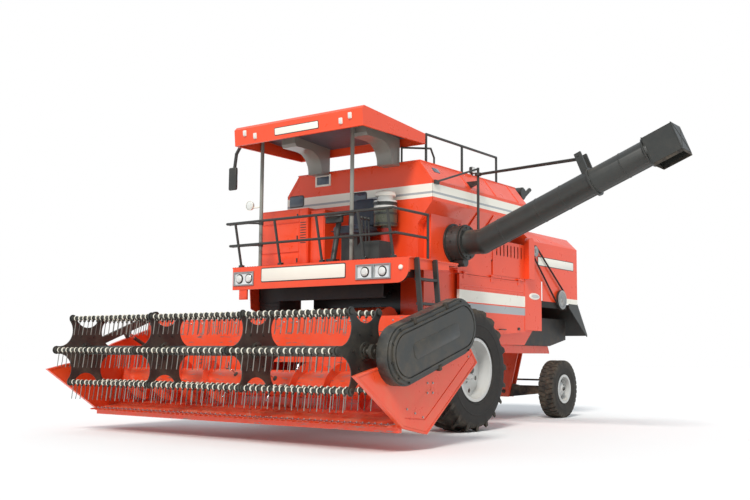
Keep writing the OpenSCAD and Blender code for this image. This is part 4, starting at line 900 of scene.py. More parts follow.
# Painted shade: the near-black band under the platform floor stands in for the deep shade beneath it.
PLATFORM_PAINT = Enamel("baked_enamel_orange_with_black_underside", ORANGE, roughness=0.4, dust=0.8, bands=(
    Band(PAINTED_SHADE_BLACK, x=(-1428, 1428), y=(-1392, -300), z=(1700, 2088)),))
CANISTER_PAINT = Enamel("moulded_pale_cap_over_olive_bowl", "#DEDDD6", bands=(
    Band("#4B4C3C", z=(2560, 2795)), Band("#B9301C", z=(2068, 2560)), Band("#3A3B38", z=(2842, 2868))))
CHARCOAL_PAINT = Enamel("satin_enamel_charcoal", CHARCOAL, Slot.CHARCOAL, roughness=0.42, coat=0.1, dust=0.35)
CHASSIS_PAINT = Enamel("satin_enamel_chassis_black", "#232220", Slot.CHARCOAL, roughness=0.5, coat=0.05,
                       dust=0.9)
CREAM_PAINT = Enamel("baked_enamel_cream", CREAM, roughness=0.32, dust=0.5)
SILVER_PAINT = Enamel("lacquered_aluminium_paint", "#BFC0BD", Slot.CANISTER, roughness=0.34)
TUBE_PAINT = Enamel("hammered_enamel_grey_tube", "#83837A", roughness=0.38, dust=0.2)
HOLDER_NYLON = Enamel("moulded_nylon_cream", "#E6E1CF", Slot.CANISTER, roughness=0.45, coat=0.0, dust=0.5)
DRIVE_RUBBER = Rubber("moulded_rubber_drive_tyre", "#211F1D", centre=(0, 775), tread=740, dust=0.4)
STEER_RUBBER = Rubber("moulded_rubber_steering_tyre", "#2B2824", centre=(3500, 447.5), tread=445, dust=0.45)
BELT_RUBBER = Rubber("wrapped_rubber_drive_belt", "#1C1B1A", centre=(3000, 2200), tread=9000)
ROD_STEEL = Steel("hard_chromed_rod_steel", "#C9CBCC", roughness=0.16, stain=0.05)
BRIGHT_STEEL = Steel("zinc_plated_steel", "#B4B6B4", roughness=0.34)
PULLEY_STEEL = Steel("turned_cast_steel", "#A9A9A6", roughness=0.36, stain=0.5)
DARK_STEEL = Steel("black_oxide_steel", "#4A4A47", roughness=0.42)
SPRING_STEEL = Steel("oil_tempered_spring_steel", "#77756F", roughness=0.38, stain=0.5)
SEAT_VINYL = Vinyl("calendered_vinyl_black", "#22242A", Slot.SEAT)
# Painted shade: the dark brown panel under the canopy stands in for the orange roof's shaded underside, with
# a tint of painted orange reflection.
UNDER_ROOF_SHADE = Vinyl("vinyl_headlining_dark_brown", "#1A1311", Slot.CHARCOAL)
# Painted reflection: the lens is opaque and pale to stand in for the lit bowl seen through clear glass; its
# ribs are real.
LAMP_GLASS = Glass("pressed_ribbed_lamp_glass", "#E3E4DE", ribs=0.5)
# Painted reflection: the bowl is near-white and mostly matt, in place of the bright mirror of an aluminised
# bowl.
LAMP_BOWL = Glass("aluminised_lamp_bowl", "#F2F3F1", Slot.BRIGHT, roughness=0.3, metallic=0.35)
PANE_GLASS = Glass("tinted_flat_glass", "#3C4654", roughness=0.05)
MIRROR_GLASS = Glass("silvered_mirror_glass", "#C3CCD4", Slot.BRIGHT, roughness=0.03, metallic=1.0)
RED_GLASS = Glass("moulded_red_lamp_lens", "#A81B16", ribs=0.4)


# Making pieces
@dataclass
class Bench:
    """Makes the pieces of the scene and keeps count of them."""

    merge: float = 2e-5
    made: list[str] = field(default_factory=list)

    def piece(self, name: str, surface: Surface, finish: Finish, body: str = "chassis",
              slot: Slot | None = None, replaces: Sequence[str] = (),
              sharp: float = 32.0) -> bpy.types.Object:
        """Turns a surface into an object that rides on a body.

        Args:
            name: the object's name.
            surface: its points and faces in machine millimetres.
            finish: its finish.
            body: the CAD body that it rides on.
            slot: not used.
            replaces: CAD nodes that it stands for.
            sharp: edges that turn by more degrees than this stay sharp.

        Returns:
            The object.
        """
        mesh = bpy.data.meshes.new(name)
        faces = [row for block in surface.faces for row in block.tolist()]
        mesh.from_pydata(DATUM.place(surface.points).tolist(), [], faces)
        work = bmesh.new()
        work.from_mesh(mesh)
        bmesh.ops.remove_doubles(work, verts=work.verts, dist=self.merge)
        bmesh.ops.dissolve_degenerate(work, edges=work.edges, dist=1e-6)
        bmesh.ops.recalc_face_normals(work, faces=work.faces)
        work.to_mesh(mesh)
        work.free()
        mesh.polygons.foreach_set("use_smooth", np.ones(len(mesh.polygons), bool))
        mesh.set_sharp_from_angle(angle=math.radians(sharp))
        mesh.materials.append(finish.material())
        made = bpy.data.objects.new(name, mesh)
        bpy.context.scene.collection.objects.link(made)
        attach(made, body)
        if replaces:
            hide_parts(*replaces)
        self.made.append(name)
        return made

    def paint(self, nodes: Sequence[str], finish: Finish) -> None:
        """Gives CAD nodes their finish in place of the plain one.

        Args:
            nodes: the CAD nodes' names.
            finish: the finish that they get.
        """
        for name in nodes:
            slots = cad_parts[name].data.materials
            slots.clear()
            slots.append(finish.material())

    def soften(self, nodes: Sequence[str], radius: float) -> None:
        """Rounds the outer edges of CAD nodes, as folded and ground sheet edges are.

        Args:
            nodes: the CAD nodes' names.
            radius: the edge's radius in millimetres.
        """
        for name in nodes:
            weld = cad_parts[name].modifiers.new("weld", "WELD")
            weld.merge_threshold = self.merge
            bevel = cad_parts[name].modifiers.new("edges", "BEVEL")
            bevel.width, bevel.segments, bevel.limit_method = radius / MM_PER_M, 2, "ANGLE"
            bevel.angle_limit, bevel.harden_normals = math.radians(40), True


@dataclass
class Studio:
    """A plain pale floor, soft light from above and in front, and the photograph's camera."""

    position: Point = (7896.0, -10726.0, 938.0)
    heading: float = 36.704
    pitch: float = 6.21
    roll: float = 0.471
    lens: float = 46.775
    floor: str = "#F1F0EE"
    floor_half: float = 80.0
    floor_z: float = -0.002
    sun: float = 2.6
    sun_turn: tuple[float, float, float] = (47.0, 0.0, 22.0)
    sun_width: float = 14.0
    sky: float = 0.75

    def build(self) -> None:
        """Makes the floor, the light and the camera."""
        self.make_floor()
        self.make_light()
        self.make_camera()

    def make_floor(self) -> None:
        """A large matt sheet just under the tyres."""
        mesh = bpy.data.meshes.new("studio_floor")
        s, z = self.floor_half, self.floor_z
        mesh.from_pydata([(-s, -s, z), (s, -s, z), (s, s, z), (-s, s, z)], [], [(0, 1, 2, 3)])
        material, tree, shader = Finish("pale_studio_paper", self.floor).start()
        wire(tree, shader, {"Base Color": linear(self.floor), "Roughness": 0.9})
        mesh.materials.append(material)
        sheet = bpy.data.objects.new("studio_floor", mesh)
        bpy.context.scene.collection.objects.link(sheet)

    def make_light(self) -> None:
        """A broad soft sun from the front left, and an even sky that the camera sees as white."""
        lamp = bpy.data.lights.new("studio_sun", "SUN")
        lamp.energy, lamp.angle, lamp.color = self.sun, math.radians(self.sun_width), (1.0, 0.97, 0.93)
        sun = bpy.data.objects.new("studio_sun", lamp)
        sun.rotation_euler = [math.radians(v) for v in self.sun_turn]
        bpy.context.scene.collection.objects.link(sun)
        world = bpy.data.worlds.new("studio_sky")
        world.use_nodes = True
        tree = world.node_tree
        tree.nodes.clear()
        ray = add(tree, "LightPath")
        soft = add(tree, "Background", {"Color": (0.86, 0.93, 1.0, 1.0), "Strength": self.sky})
        white = add(tree, "Background", {"Color": (1.0, 1.0, 1.0, 1.0), "Strength": 1.0})
        mixed = add(tree, "MixShader", links={0: ray.outputs["Is Camera Ray"], 1: soft,
                                              2: white})
        add(tree, "OutputWorld", links={"Surface": mixed})
        bpy.context.scene.world = world
        bpy.context.scene.view_settings.view_transform = "Standard"

    def make_camera(self) -> None:
        """The camera where the photograph was taken from, with its slight roll."""
        a, p, r = (math.radians(v) for v in (self.heading, self.pitch, self.roll))
        ahead = np.array([-math.sin(a) * math.cos(p), math.cos(a) * math.cos(p), math.sin(p)])
        level = np.array([math.cos(a), math.sin(a), 0.0])
        right = level * math.cos(r) + np.cross(level, ahead) * math.sin(r)
        matrix = np.eye(4)
        matrix[:3, 0], matrix[:3, 1], matrix[:3, 2] = right, np.cross(right, ahead), -ahead
        matrix[:3, 3] = DATUM.place(self.position)
        data = bpy.data.cameras.new("photo_camera")
        data.lens, data.sensor_width, data.clip_end = self.lens, 36.0, 300.0
        camera = bpy.data.objects.new("photo_camera", data)
        camera.matrix_world = Matrix(matrix.tolist())
        bpy.context.scene.collection.objects.link(camera)
        bpy.context.scene.camera = camera


# The machine's parts
BATS, REEL_Y, REEL_Z, REEL_R = 6, -3170.0, 980.0, 440.0


def bat_axis(number: int) -> tuple[float, float]:
    """Where a bat's axis lies; the bats stand at even angles round the reel's axle.

    Args:
        number: the bat's number round the reel, from nought.

    Returns:
        The axis's y and z in machine millimetres.
    """
    turn = 2 * math.pi * number / BATS
    return REEL_Y + REEL_R * math.cos(turn), REEL_Z + REEL_R * math.sin(turn)


@dataclass
class Assembly:
    """What every sub-assembly shares: the bench that makes its pieces."""

    bench: Bench

    def build(self) -> None:
        """Makes the pieces; each sub-assembly has its own."""
        raise NotImplementedError


@dataclass
class CadFinishes(Assembly):
    """Which finish each CAD node gets, and whose edges are rounded."""

    edge: float = 3.0
    painted: tuple[tuple[Finish, tuple[str, ...]], ...] = (
        (BODY_PAINT, ("frame", "side_panels", "sills", "boot", "elevator", "canopy", "cabinet",
                      "end_panels")),
        (CROP_PAINT, ("feeder_house", "trough", "intake_auger", "knife")),
        (CHARCOAL_PAINT, ("deflector", "exhaust", "rails", "ladder", "mirrors", "controls", "reel_arms",
                          "reel_frame", "auger_hub", "auger_tube", "auger_stays", "belt_cover")),
        (CHASSIS_PAINT, ("drive_axle", "rear_axle", "sieve_box", "engine", "lift_barrels", "reel_barrels",
                         "knuckle_left", "knuckle_right", "tie_rod", "lamps")),
        (THRESHER_PAINT, ("thresher",)), (PLATFORM_PAINT, ("platform",)), (TANK_PAINT, ("grain_tank",)),
        (HOOD_PAINT, ("straw_hood",)), (SHIELD_PAINT, ("shield_left", "shield_right")),
        (BELT_RUBBER, ("belt_drive",)), (TUBE_PAINT, ("canopy_posts",)), (CANISTER_PAINT, ("air_cleaner",)),
        (SEAT_VINYL, ("seat",)), (ROD_STEEL, ("lift_rods", "reel_rods")),
        (SILVER_PAINT, ("drive_rim_left", "drive_rim_right", "steer_rim_left", "steer_rim_right")),
        (DRIVE_RUBBER, ("drive_tyre_left", "drive_tyre_right")),
        (STEER_RUBBER, ("steer_tyre_left", "steer_tyre_right")))
    edged: tuple[str, ...] = (
        "platform", "canopy", "cabinet", "grain_tank", "straw_hood", "end_panels", "thresher", "side_panels",
        "feeder_house", "trough", "sieve_box", "deflector", "belt_cover", "engine", "controls",
        "canopy_posts", "frame", "drive_axle", "rear_axle", "auger_tube", "auger_hub", "reel_frame", "boot",
        "elevator", "ladder", "knuckle_left", "knuckle_right")

    def build(self) -> None:
        """Paints every CAD node; each bat's finish is laid out from the bat's own axis."""
        for finish, nodes in self.painted:
            self.bench.paint(nodes, finish)
        self.bench.soften(self.edged, self.edge)
        for number in range(BATS):
            name = f"bat_{number + 1}"
            finish = BatFinish(f"satin_enamel_and_spring_steel_{name}", CHARCOAL, axle=bat_axis(number))
            self.bench.paint((name,), finish)


@dataclass
class Canopy(Assembly):
    """The roof over the platform: hem, swages, blank plate, marker lamps, a dark panel of painted shade under
    the roof, and rivets.
    """

    half: float = 1050.0
    front: float = -1800.0
    rear: float = -480.0
    low: float = 3650.0
    top: float = 3890.0
    fall: float = 100.0
    lean: float = 0.1
    rim: float = 10.0
    hem_r: float = 12.0
    # Blank plate: x from, x to, z from, z to
    plate: Numbers = (-342.0, 366.0, 3700.0, 3782.0)
    # Marker lamps: x and z of each middle, and the half width and half height of all
    lamps: Rows = ((-857.0, 3788.0), (-678.0, 3732.0), (726.0, 3733.0), (869.0, 3779.0))
    lamp_half: Numbers = (26.0, 38.0)
    swage_x: Numbers = (-720.0, -240.0, 240.0, 720.0)
    swage_half: float = 40.0
    swage_rise: float = 5.0
    shade_panel_in: float = 18.0
    sag: float = 14.0

    def build(self) -> None:
        """Makes the canopy's pieces."""
        piece = self.bench.piece
        x, front, rear = self.half - self.rim, self.front + self.rim, self.rear - self.rim
        foot, heel = self.low, self.low + 10
        loop = [(x, front, foot), (x, rear, heel), (-x, rear, heel), (-x, front, foot)]
        piece("canopy_hem", moulding(loop, circle_profile(self.hem_r), UP), BODY_PAINT, sharp=60)
        piece("canopy_swages", self.swages(), BODY_PAINT)
        x0, x1, z0, z1 = self.plate
        plate, border = framed(Axis.Y, (z0, x0), (z1, x1), 2, (-5, -3), (10, 14), 9)
        piece("canopy_plate", self.on_board(plate), CREAM_PAINT)
        piece("canopy_plate_border", self.on_board(border), CHARCOAL_PAINT)
        w, h = self.lamp_half
        bodies = [rounded_box((x - w, -20, z - h), (x + w, 4, z + h), 9) for x, z in self.lamps]
        w, h = w - 7, h - 7
        lenses = [rounded_box((x - w, -27, z - h), (x + w, -18, z + h), 4) for x, z in self.lamps]
        piece("canopy_lamp_bodies", self.on_board(joined(bodies)), CREAM_PAINT)
        piece("canopy_lamp_lenses", self.on_board(joined(lenses)), LAMP_GLASS)
        # A dark panel of painted shade under the roof.
        piece("canopy_painted_shade_panel", self.painted_shade_panel(), UNDER_ROOF_SHADE, sharp=80)
        piece("canopy_rivets", self.rivet_rows(), BODY_PAINT)

    def on_board(self, surface: Surface) -> Surface:
        """Leans a form made at y = 0 against the front board, which leans forward by one in ten."""
        foot = self.front + self.lean * self.low
        return surface.turned(Matrix(((1, 0, 0, 0), (0, 1, -self.lean, foot), (0, 0, 1, 0), (0, 0, 0, 1))))

    def roof(self, y: Array) -> Array:
        """Height of the roof's upper face at places along the machine, falling evenly to the rear."""
        return self.top - self.fall * (y - self.front - 20) / (self.rear - self.front - 20)

    def swages(self) -> Surface:
        """Pressed ribs along the roof: a raised cosine across, faded out at the ends and closed below.

        Returns:
            The ribs as one surface.
        """
        root, fading = -3.0, 60.0
        y = np.linspace(self.front + 90, self.rear - fading, 40)[:, None]
        u = np.concatenate([np.linspace(1, -1, 13), [-1.0, 1.0]])[None]
        rise = np.concatenate([self.swage_rise / 2 * (1 + np.cos(np.pi * u[0, :13])), [root, root]])[None]
        fade = np.clip(np.minimum(y - y[0], y[-1] - y) / fading, 0.0, 1.0) ** 0.5
        up = self.roof(y) - 1 + rise * fade
        along = np.broadcast_to(y, up.shape)
        return joined([grid(np.stack([x + self.swage_half * u * fade, along, up], -1), False, True)
                       for x in self.swage_x])

    def painted_shade_panel(self) -> Surface:
        """A dark brown panel of painted shade under the roof, with a tint of painted orange reflection: it
        sags in the middle and its edge turns up to the roof.

        Returns:
            The surface.
        """
        half, start, end = self.half - self.shade_panel_in, self.front + 24, self.rear - 22
        x, y = net(-half, half, 60, start, end, 48)
        edge = np.minimum(half - np.abs(x), np.minimum(y - start, end - y))
        across = np.sin(np.pi * (x + self.half) / (2 * self.half))
        sag = self.sag * across * np.sin(np.pi * (y - self.front) / (self.rear - self.front))
        z = self.roof(y) - 33 - (8 + sag) * np.clip(edge / 30, 0, 1) ** 0.5
        return grid(np.stack([x, y, z], -1))

    def rivet_rows(self) -> Surface:
        """Rows of rivets along the roof's edges and down the boards.

        Returns:
            The rivets as one surface.
        """
        x, start, end, rows = self.half - 30, self.front + 60, self.rear - 40, []
        for s in (-1, 1):
            edge = line_of((s * x, start, self.roof(start)), (s * x, end, self.roof(end)), 12)
            board = line_of((s * self.half, start, 3700), (s * self.half, self.rear - 60, 3695), 9)
            rows += [(edge, (0, 0.08, 1)), (board, (s, 0, 0))]
        rows.append((line_of((-x, self.rear, 3740), (x, self.rear, 3740), 14), BACKWARDS))
        return rivets(15, rows)


@dataclass
class Platform(Assembly):
    """The operator's platform: blank plate, head lamps, marker lamp, floor plates, rivets and underframe."""

    face: float = -1400.0
    floor: float = 2100.0
    half: float = 1435.0
    # Blank plate: x from, x to, z from, z to
    plate: Numbers = (-904.0, 487.0, 1896.0, 2062.0)
    # Head lamps: x from, width, boxes; each lamp has two bowls, in one box or in two
    lamps: Rows = ((-1415.0, 370.0, 1), (656.0, 525.0, 2))
    lamp_z: Numbers = (1860.0, 2030.0)
    marker: Point = (1327.0, -1400.0, 1980.0)
    # Floor plates: x from, x to
    plates: Rows = ((-1425.0, -480.0), (-470.0, 470.0), (480.0, 1425.0))
    lozenge: float = 90.0
    lozenge_rise: float = 4.0
    # Cross channel under the right half: front face, lower edge, upper edge, left end, depth and thickness
    beam: Numbers = (-900.0, 1668.0, 1864.0, 700.0, 60.0, 8.0)
    # Its hangers: x and top; the guard's straps: x
    hangers: Rows = ((-1405.0, 2058.0), (-770.0, 1950.0), (640.0, 2058.0))
    straps: Numbers = (-1405.0, -1110.0)
    guard_ribs: Numbers = (1535.0, 1585.0, 1635.0)

    def build(self) -> None:
        """Makes the platform's pieces."""
        piece = self.bench.piece
        x0, x1, z0, z1 = self.plate
        fronts = (self.face - 6, self.face - 3)
        plate, border = framed(Axis.Y, (z0, x0), (z1, x1), self.face + 2, fronts, (14, 22), 12)
        piece("platform_plate", plate, CREAM_PAINT)
        piece("platform_plate_border", border, CHARCOAL_PAINT)
        self.head_lamps()
        self.underframe()
        marker = revolved([(4, 0), (4, 30), (-14, 30), (-22, 22), (-26, 0)], Axis.Y, self.marker, 24)
        piece("platform_marker_lamp", marker, CREAM_PAINT, slot=Slot.LENS)
        rows = [(line_of((-1380, self.face, z), (x, self.face, z), count), AHEAD)
                for x, z, count in ((1180, 1832, 15), (1380, 2082, 16))]
        piece("platform_rivets", rivets(13, rows), BODY_PAINT)
        piece("platform_floor_plates", self.floor_plates(), FLOOR_PAINT)
        edge = line_of((self.half + 2, -1396, 2094), (self.half + 2, -320, 2094), 3)
        piece("platform_edge", tube(edge, 12, 10).both(), BODY_PAINT)

    def underframe(self) -> None:
        """Under the right half: a folded cross channel on its hangers, the side drive's ribbed guard and the
        orange plates that carry them."""
        front, low, high, end, depth, wall = self.beam
        outer, back, inside = 3 - self.half, front + depth, front + wall
        inner = outer + 14
        section = [(front, low), (back, low), (back, low + wall), (inside, low + wall), (inside, high - wall),
                   (back, high - wall), (back, high), (front, high)]
        parts = [prism(section, Axis.X, inner, end)]
        parts += [rounded_box((x, front + 4, high - 20), (x + 60, front + 54, top), 5)
                  for x, top in self.hangers]
        parts += [rounded_box((x, -500, high - 30), (x + 50, -450, 2058), 4) for x in self.straps]
        parts.append(rounded_box((inner, front + 2, 1500), (-1045, -430, high - 4), 24, 4))
        parts += [rounded_box((inner + 28, front - 5, z), (-1065, front + 6, z + 16), 4.9)
                  for z in self.guard_ribs]
        self.bench.piece("platform_drive_guard", joined(parts), CHASSIS_PAINT)
        plate = prism([(-1050, 1560), (-880, 1500), (-880, 1960), (-1090, 1960)], Axis.X, outer, inner)
        corner = rounded_box((-1322, -1392, 1668), (-1180, -1362, 1812), 6)
        self.bench.piece("platform_carrier_plates", joined([plate, corner]), BODY_PAINT)

    def head_lamps(self) -> None:
        """Each box has a reflector with its bowls, a ribbed lens in front of each bowl and a bright bezel."""
        boxes, bowls, lenses, bezels = [], [], [], []
        z0, z1 = self.lamp_z
        face, middle, high = self.face, (z0 + z1) / 2, (z1 - z0) / 2 - 8
        rim = [(-12, -6), (-12, 12), (-7, 16), (5, 16), (9, 10), (9, -6)]
        crown = [(0, 52), (-6, 50), (-12, 36), (-15, 0)]
        for start, width, count in self.lamps:
            step, bulbs = width / count, 2 // count
            for x0 in (start + 10 + k * step for k in range(count)):
                wide = step - 20
                x1 = x0 + wide
                boxes.append(slab(Axis.Y, (z0, x0), (z1, x1), face + 24, face + 6, 12))
                field_middle, field_half = ((x0 + x1) / 2, face + 3, middle), (high, wide / 2 - 8)
                bowls.append(dish(field_middle, field_half, 22, bulbs, Axis.Y, -1.0))
                spots = [x0 + (bulb + 0.5) / bulbs * wide for bulb in range(bulbs)]
                lenses += [revolved(crown, Axis.Y, (x, face - 2, middle), 36) for x in spots]
                loop = [(x0, face, z0), (x1, face, z0), (x1, face, z1), (x0, face, z1)]
                bezels.append(moulding(loop, rim, AHEAD))
        piece = self.bench.piece
        piece("head_lamp_boxes", joined(boxes), CHASSIS_PAINT, replaces=("lamps",))
        piece("head_lamp_bowls", joined(bowls), LAMP_BOWL, sharp=80)
        piece("head_lamp_lenses", joined(lenses), LAMP_GLASS, sharp=80)
        piece("head_lamp_bezels", joined(bezels), BRIGHT_STEEL)

    def floor_plates(self) -> Surface:
        """Pressed floor plates, with lozenges raised where two crossed rows of cosines overlap by a third.

        Returns:
            The plates as one surface.
        """
        made, wave = [], 2 * np.pi / self.lozenge
        for x0, x1 in self.plates:
            x, y = net(x0, x1, 150, -1392, -330, 160)
            rows = np.cos((x + y) * wave) * np.cos((x - y) * wave)
            z = self.floor + 2 + self.lozenge_rise * np.clip(rows - 0.35, 0, 0.4) / 0.4
            made.append(grid(np.stack([x, y, z], -1)))
        return joined(made)


@dataclass
class Rails(Assembly):
    """What goes with the guard rails: the inner tubes of the closed ends, foot bolts, clamps and end caps."""

    right: float = -1450.0
    lean: float = 130.0
    heights: Numbers = (290.0, 580.0)
    posts: Numbers = (-1300.0, -600.0, 100.0, 760.0, 1200.0)
    clamps: Numbers = (-1000.0, 530.0)
    clamp_y: float = -1333.0

    def build(self) -> None:
        """Makes the rails' pieces."""
        face, floor, tubes = Platform.face, Platform.floor, []
        cap = [(-17, 0), (-12, 12), (0, 17), (12, 12), (17, 0)]
        for rise in self.heights:
            y, z = face + 80 - self.lean * rise / self.heights[-1], floor + rise
            start = (self.right, y, z)
            path = [start, (-1300, y, z), (-1120, y + 2, z), (-1010, y - 20 + 0.2 * rise, z)]
            tubes += [tube(path, 15, 12), revolved(cap, Axis.X, start, 14)]
        self.bench.piece("rail_inner_tubes", joined(tubes), CHARCOAL_PAINT, sharp=60)
        feet = np.array([(x + dx, face + 25, floor + 30) for x in self.posts for dx in (-21, 21)])
        self.bench.piece("rail_bolts", bolts(12, [(feet, UP)]), BRIGHT_STEEL)
        sleeve = revolved([(-22, 26), (-22, 33), (22, 33), (22, 26)], Axis.Z, ORIGIN, 24, True)
        clamps = [sleeve.moved((x, self.clamp_y, floor + rise)) for x in self.clamps for rise in self.heights]
        self.bench.piece("rail_clamps", joined(clamps), CHARCOAL_PAINT)


@dataclass
class Mirror(Assembly):
    """The mirror on its bent arm, and the round work lamp on the right post."""

    head: Point = (-1420.0, -1430.0, 3310.0)
    lamp: Point = (-1195.0, -1345.0, 2930.0)
    post: Point = (-1000.0, -1333.0, 2905.0)

    def build(self) -> None:
        """Makes the mirror's shell, its glass and the lamp."""
        piece = self.bench.piece
        x, y, z = self.head
        piece("mirror_shell", rounded_box((x - 95, y - 24, z - 158), (x + 48, y + 22, z + 155), 22, 4),
              CHARCOAL_PAINT, sharp=60)
        glass = slab(Axis.Y, (z - 146, x - 85), (z + 143, x + 38), y + 18, y + 25, 20, 2)
        piece("mirror_glass", glass, MIRROR_GLASS)
        bowl = revolved([(40, 0), (38, 30), (20, 58), (-12, 66), (-18, 66), (-18, 60)], Axis.Y, self.lamp, 32)
        lens = revolved([(-14, 61), (-22, 50), (-27, 25), (-29, 0)], Axis.Y, self.lamp, 32)
        x, y, z = self.post
        arm = tube([self.post, (x - 80, y, z - 5), (x - 160, y, z - 5), (x - 195, y + 8, z + 20)], 11, 10)
        piece("post_lamp", joined([bowl, arm]), CREAM_PAINT, slot=Slot.CANISTER, sharp=50)
        piece("post_lamp_lens", lens, LAMP_GLASS, sharp=80)


@dataclass
class Station(Assembly):
    """The operator's place: seat, instrument panel, cabinet doors, and the air cleaner's bands and cap."""

    seat_x: float = 200.0
    floor: float = 2100.0
    wall: float = -560.0
    seams: Numbers = (-150.0, -50.0, 50.0, 150.0)
    squareness: float = 0.34
    seam_depth: float = 7.0
    # Cabinet and locker doors: x from, x to, and height from and to over the floor
    doors: Rows = (
        (-1385.0, -670.0, 14.0, 192.0), (-1385.0, -670.0, 220.0, 592.0), (-1385.0, -670.0, 620.0, 780.0),
        (-655.0, -535.0, 14.0, 780.0))
    latches: Numbers = (72.0, 376.0, 670.0)
    hinges: Numbers = (60.0, 150.0, 280.0, 530.0, 660.0, 740.0)
    louvres: int = 9
    cleaner_x: float = 620.0
    cleaner_r: float = 151.0
    # Clamp bands and their clips: height of each over the floor
    bands: Rows = ((500.0, 497.0), (630.0, 627.0), (765.0, 762.0))

    def build(self) -> None:
        """Makes the station's pieces."""
        self.seat()
        self.instruments()
        self.cabinet()
        self.air_cleaner()

    def seat(self) -> None:
        """Crowned cushion and backrest with four seams each and a piped edge, on the seat's own box."""
        x, floor = self.seat_x, self.floor
        seams = [x + dx for dx in self.seams]
        base = cushion((x - 240, -1040, floor + 380), (x + 240, -620, floor + 505), self.squareness, seams,
                       self.seam_depth)
        back = cushion((x - 230, -55, -190), (x + 230, 45, 195), self.squareness, seams, self.seam_depth)
        lean = Matrix.Rotation(math.radians(-8), 4, "X")
        back = back.turned(Matrix.Translation((0, -640, floor + 690)) @ lean)
        pads = self.bench.piece("seat_cushions", joined([base, back]), SEAT_VINYL, replaces=("seat",),
                                sharp=80)
        z = floor + 436
        loop = [(x - 225, -1020, z), (x + 225, -1020, z), (x + 225, -640, z), (x - 225, -640, z)]
        piping = moulding(loop, [(across + 13, up) for across, up in circle_profile(6, 8)], UP)
        self.bench.piece("seat_piping", piping, CHARCOAL_PAINT, slot=Slot.SEAT, sharp=60)

    def instruments(self) -> None:
        """A small panel with three round dials on the steering column, and the levers' rubber boots."""
        x, z = self.seat_x, self.floor + 500
        panel = rounded_box((x - 130, -1290, z), (x + 130, -1236, z + 110), 12, 3)
        dial = [(0, 34), (7, 34), (9, 29), (6, 27), (6, 0)]
        boot = [(0, 30), (14, 26), (18, 28), (34, 20), (38, 22), (56, 12)]
        dials = [revolved(dial, Axis.Y, (x + dx, -1236, z + 56), 28) for dx in (-84, 0, 84)]
        boots = [revolved(boot, Axis.Z, (x + 330, y, self.floor + 38), 16) for y in (-1094, -1024, -954)]
        self.bench.piece("instrument_panel", joined([panel, *boots]), CHARCOAL_PAINT)
        self.bench.piece("instrument_dials", joined(dials), LAMP_GLASS)

    def cabinet(self) -> None:
        """Pressed doors on the cabinet and the locker, with hinges, latches and louvres."""
        face, floor = self.wall - 380, self.floor
        doors = [slab(Axis.Y, (floor + z0, x0), (floor + z1, x1), face + 1, face - 7, 14, 3)
                 for x0, x1, z0, z1 in self.doors]
        doors.append(slab(Axis.Y, (floor + 20, -485), (floor + 740, -275), face + 41, face + 32, 16, 3))
        self.bench.piece("cabinet_doors", joined(doors), BODY_PAINT)
        latches = [rounded_box((-702, face - 20, floor + z), (-684, face - 5, floor + z + 60), 5)
                   for z in self.latches]
        hinges = [revolved([(-28, 0), (-28, 7), (28, 7), (28, 0)], Axis.Z, (-1384, face - 8, floor + z), 10)
                  for z in self.hinges]
        self.bench.piece("cabinet_latches", joined(latches + hinges), CHARCOAL_PAINT)
        slots = [rounded_box((-645, face - 10, floor + z), (-545, face - 6, floor + z + 12), 2)
                 for z in (330 + 34 * k for k in range(self.louvres))]
        self.bench.piece("cabinet_louvres", joined(slots), CHARCOAL_PAINT)

    def air_cleaner(self) -> None:
        """Black clamp bands with their clips, and a domed white cap, on the air cleaner's can."""
        x, y, r = self.cleaner_x, self.wall - 190, self.cleaner_r
        trim = [revolved([(z, r), (z, r + 5), (z + 24, r + 5), (z + 24, r)], Axis.Z, (x, y, self.floor), 48,
                         True) for z, _ in self.bands]
        trim += [rounded_box((x - 12, y - 172, self.floor + z), (x + 12, y - 150, self.floor + z + 30), 5)
                 for _, z in self.bands]
        dome = [(872, 96), (872, 130), (880, 134), (904, 134), (925, 120), (938, 80), (942, 0)]
        self.bench.piece("air_cleaner_bands", joined(trim), CHARCOAL_PAINT)
        self.bench.piece("air_cleaner_cap", revolved(dome, Axis.Z, (x, y, self.floor), 48), CREAM_PAINT,
                         slot=Slot.CANISTER, sharp=50)


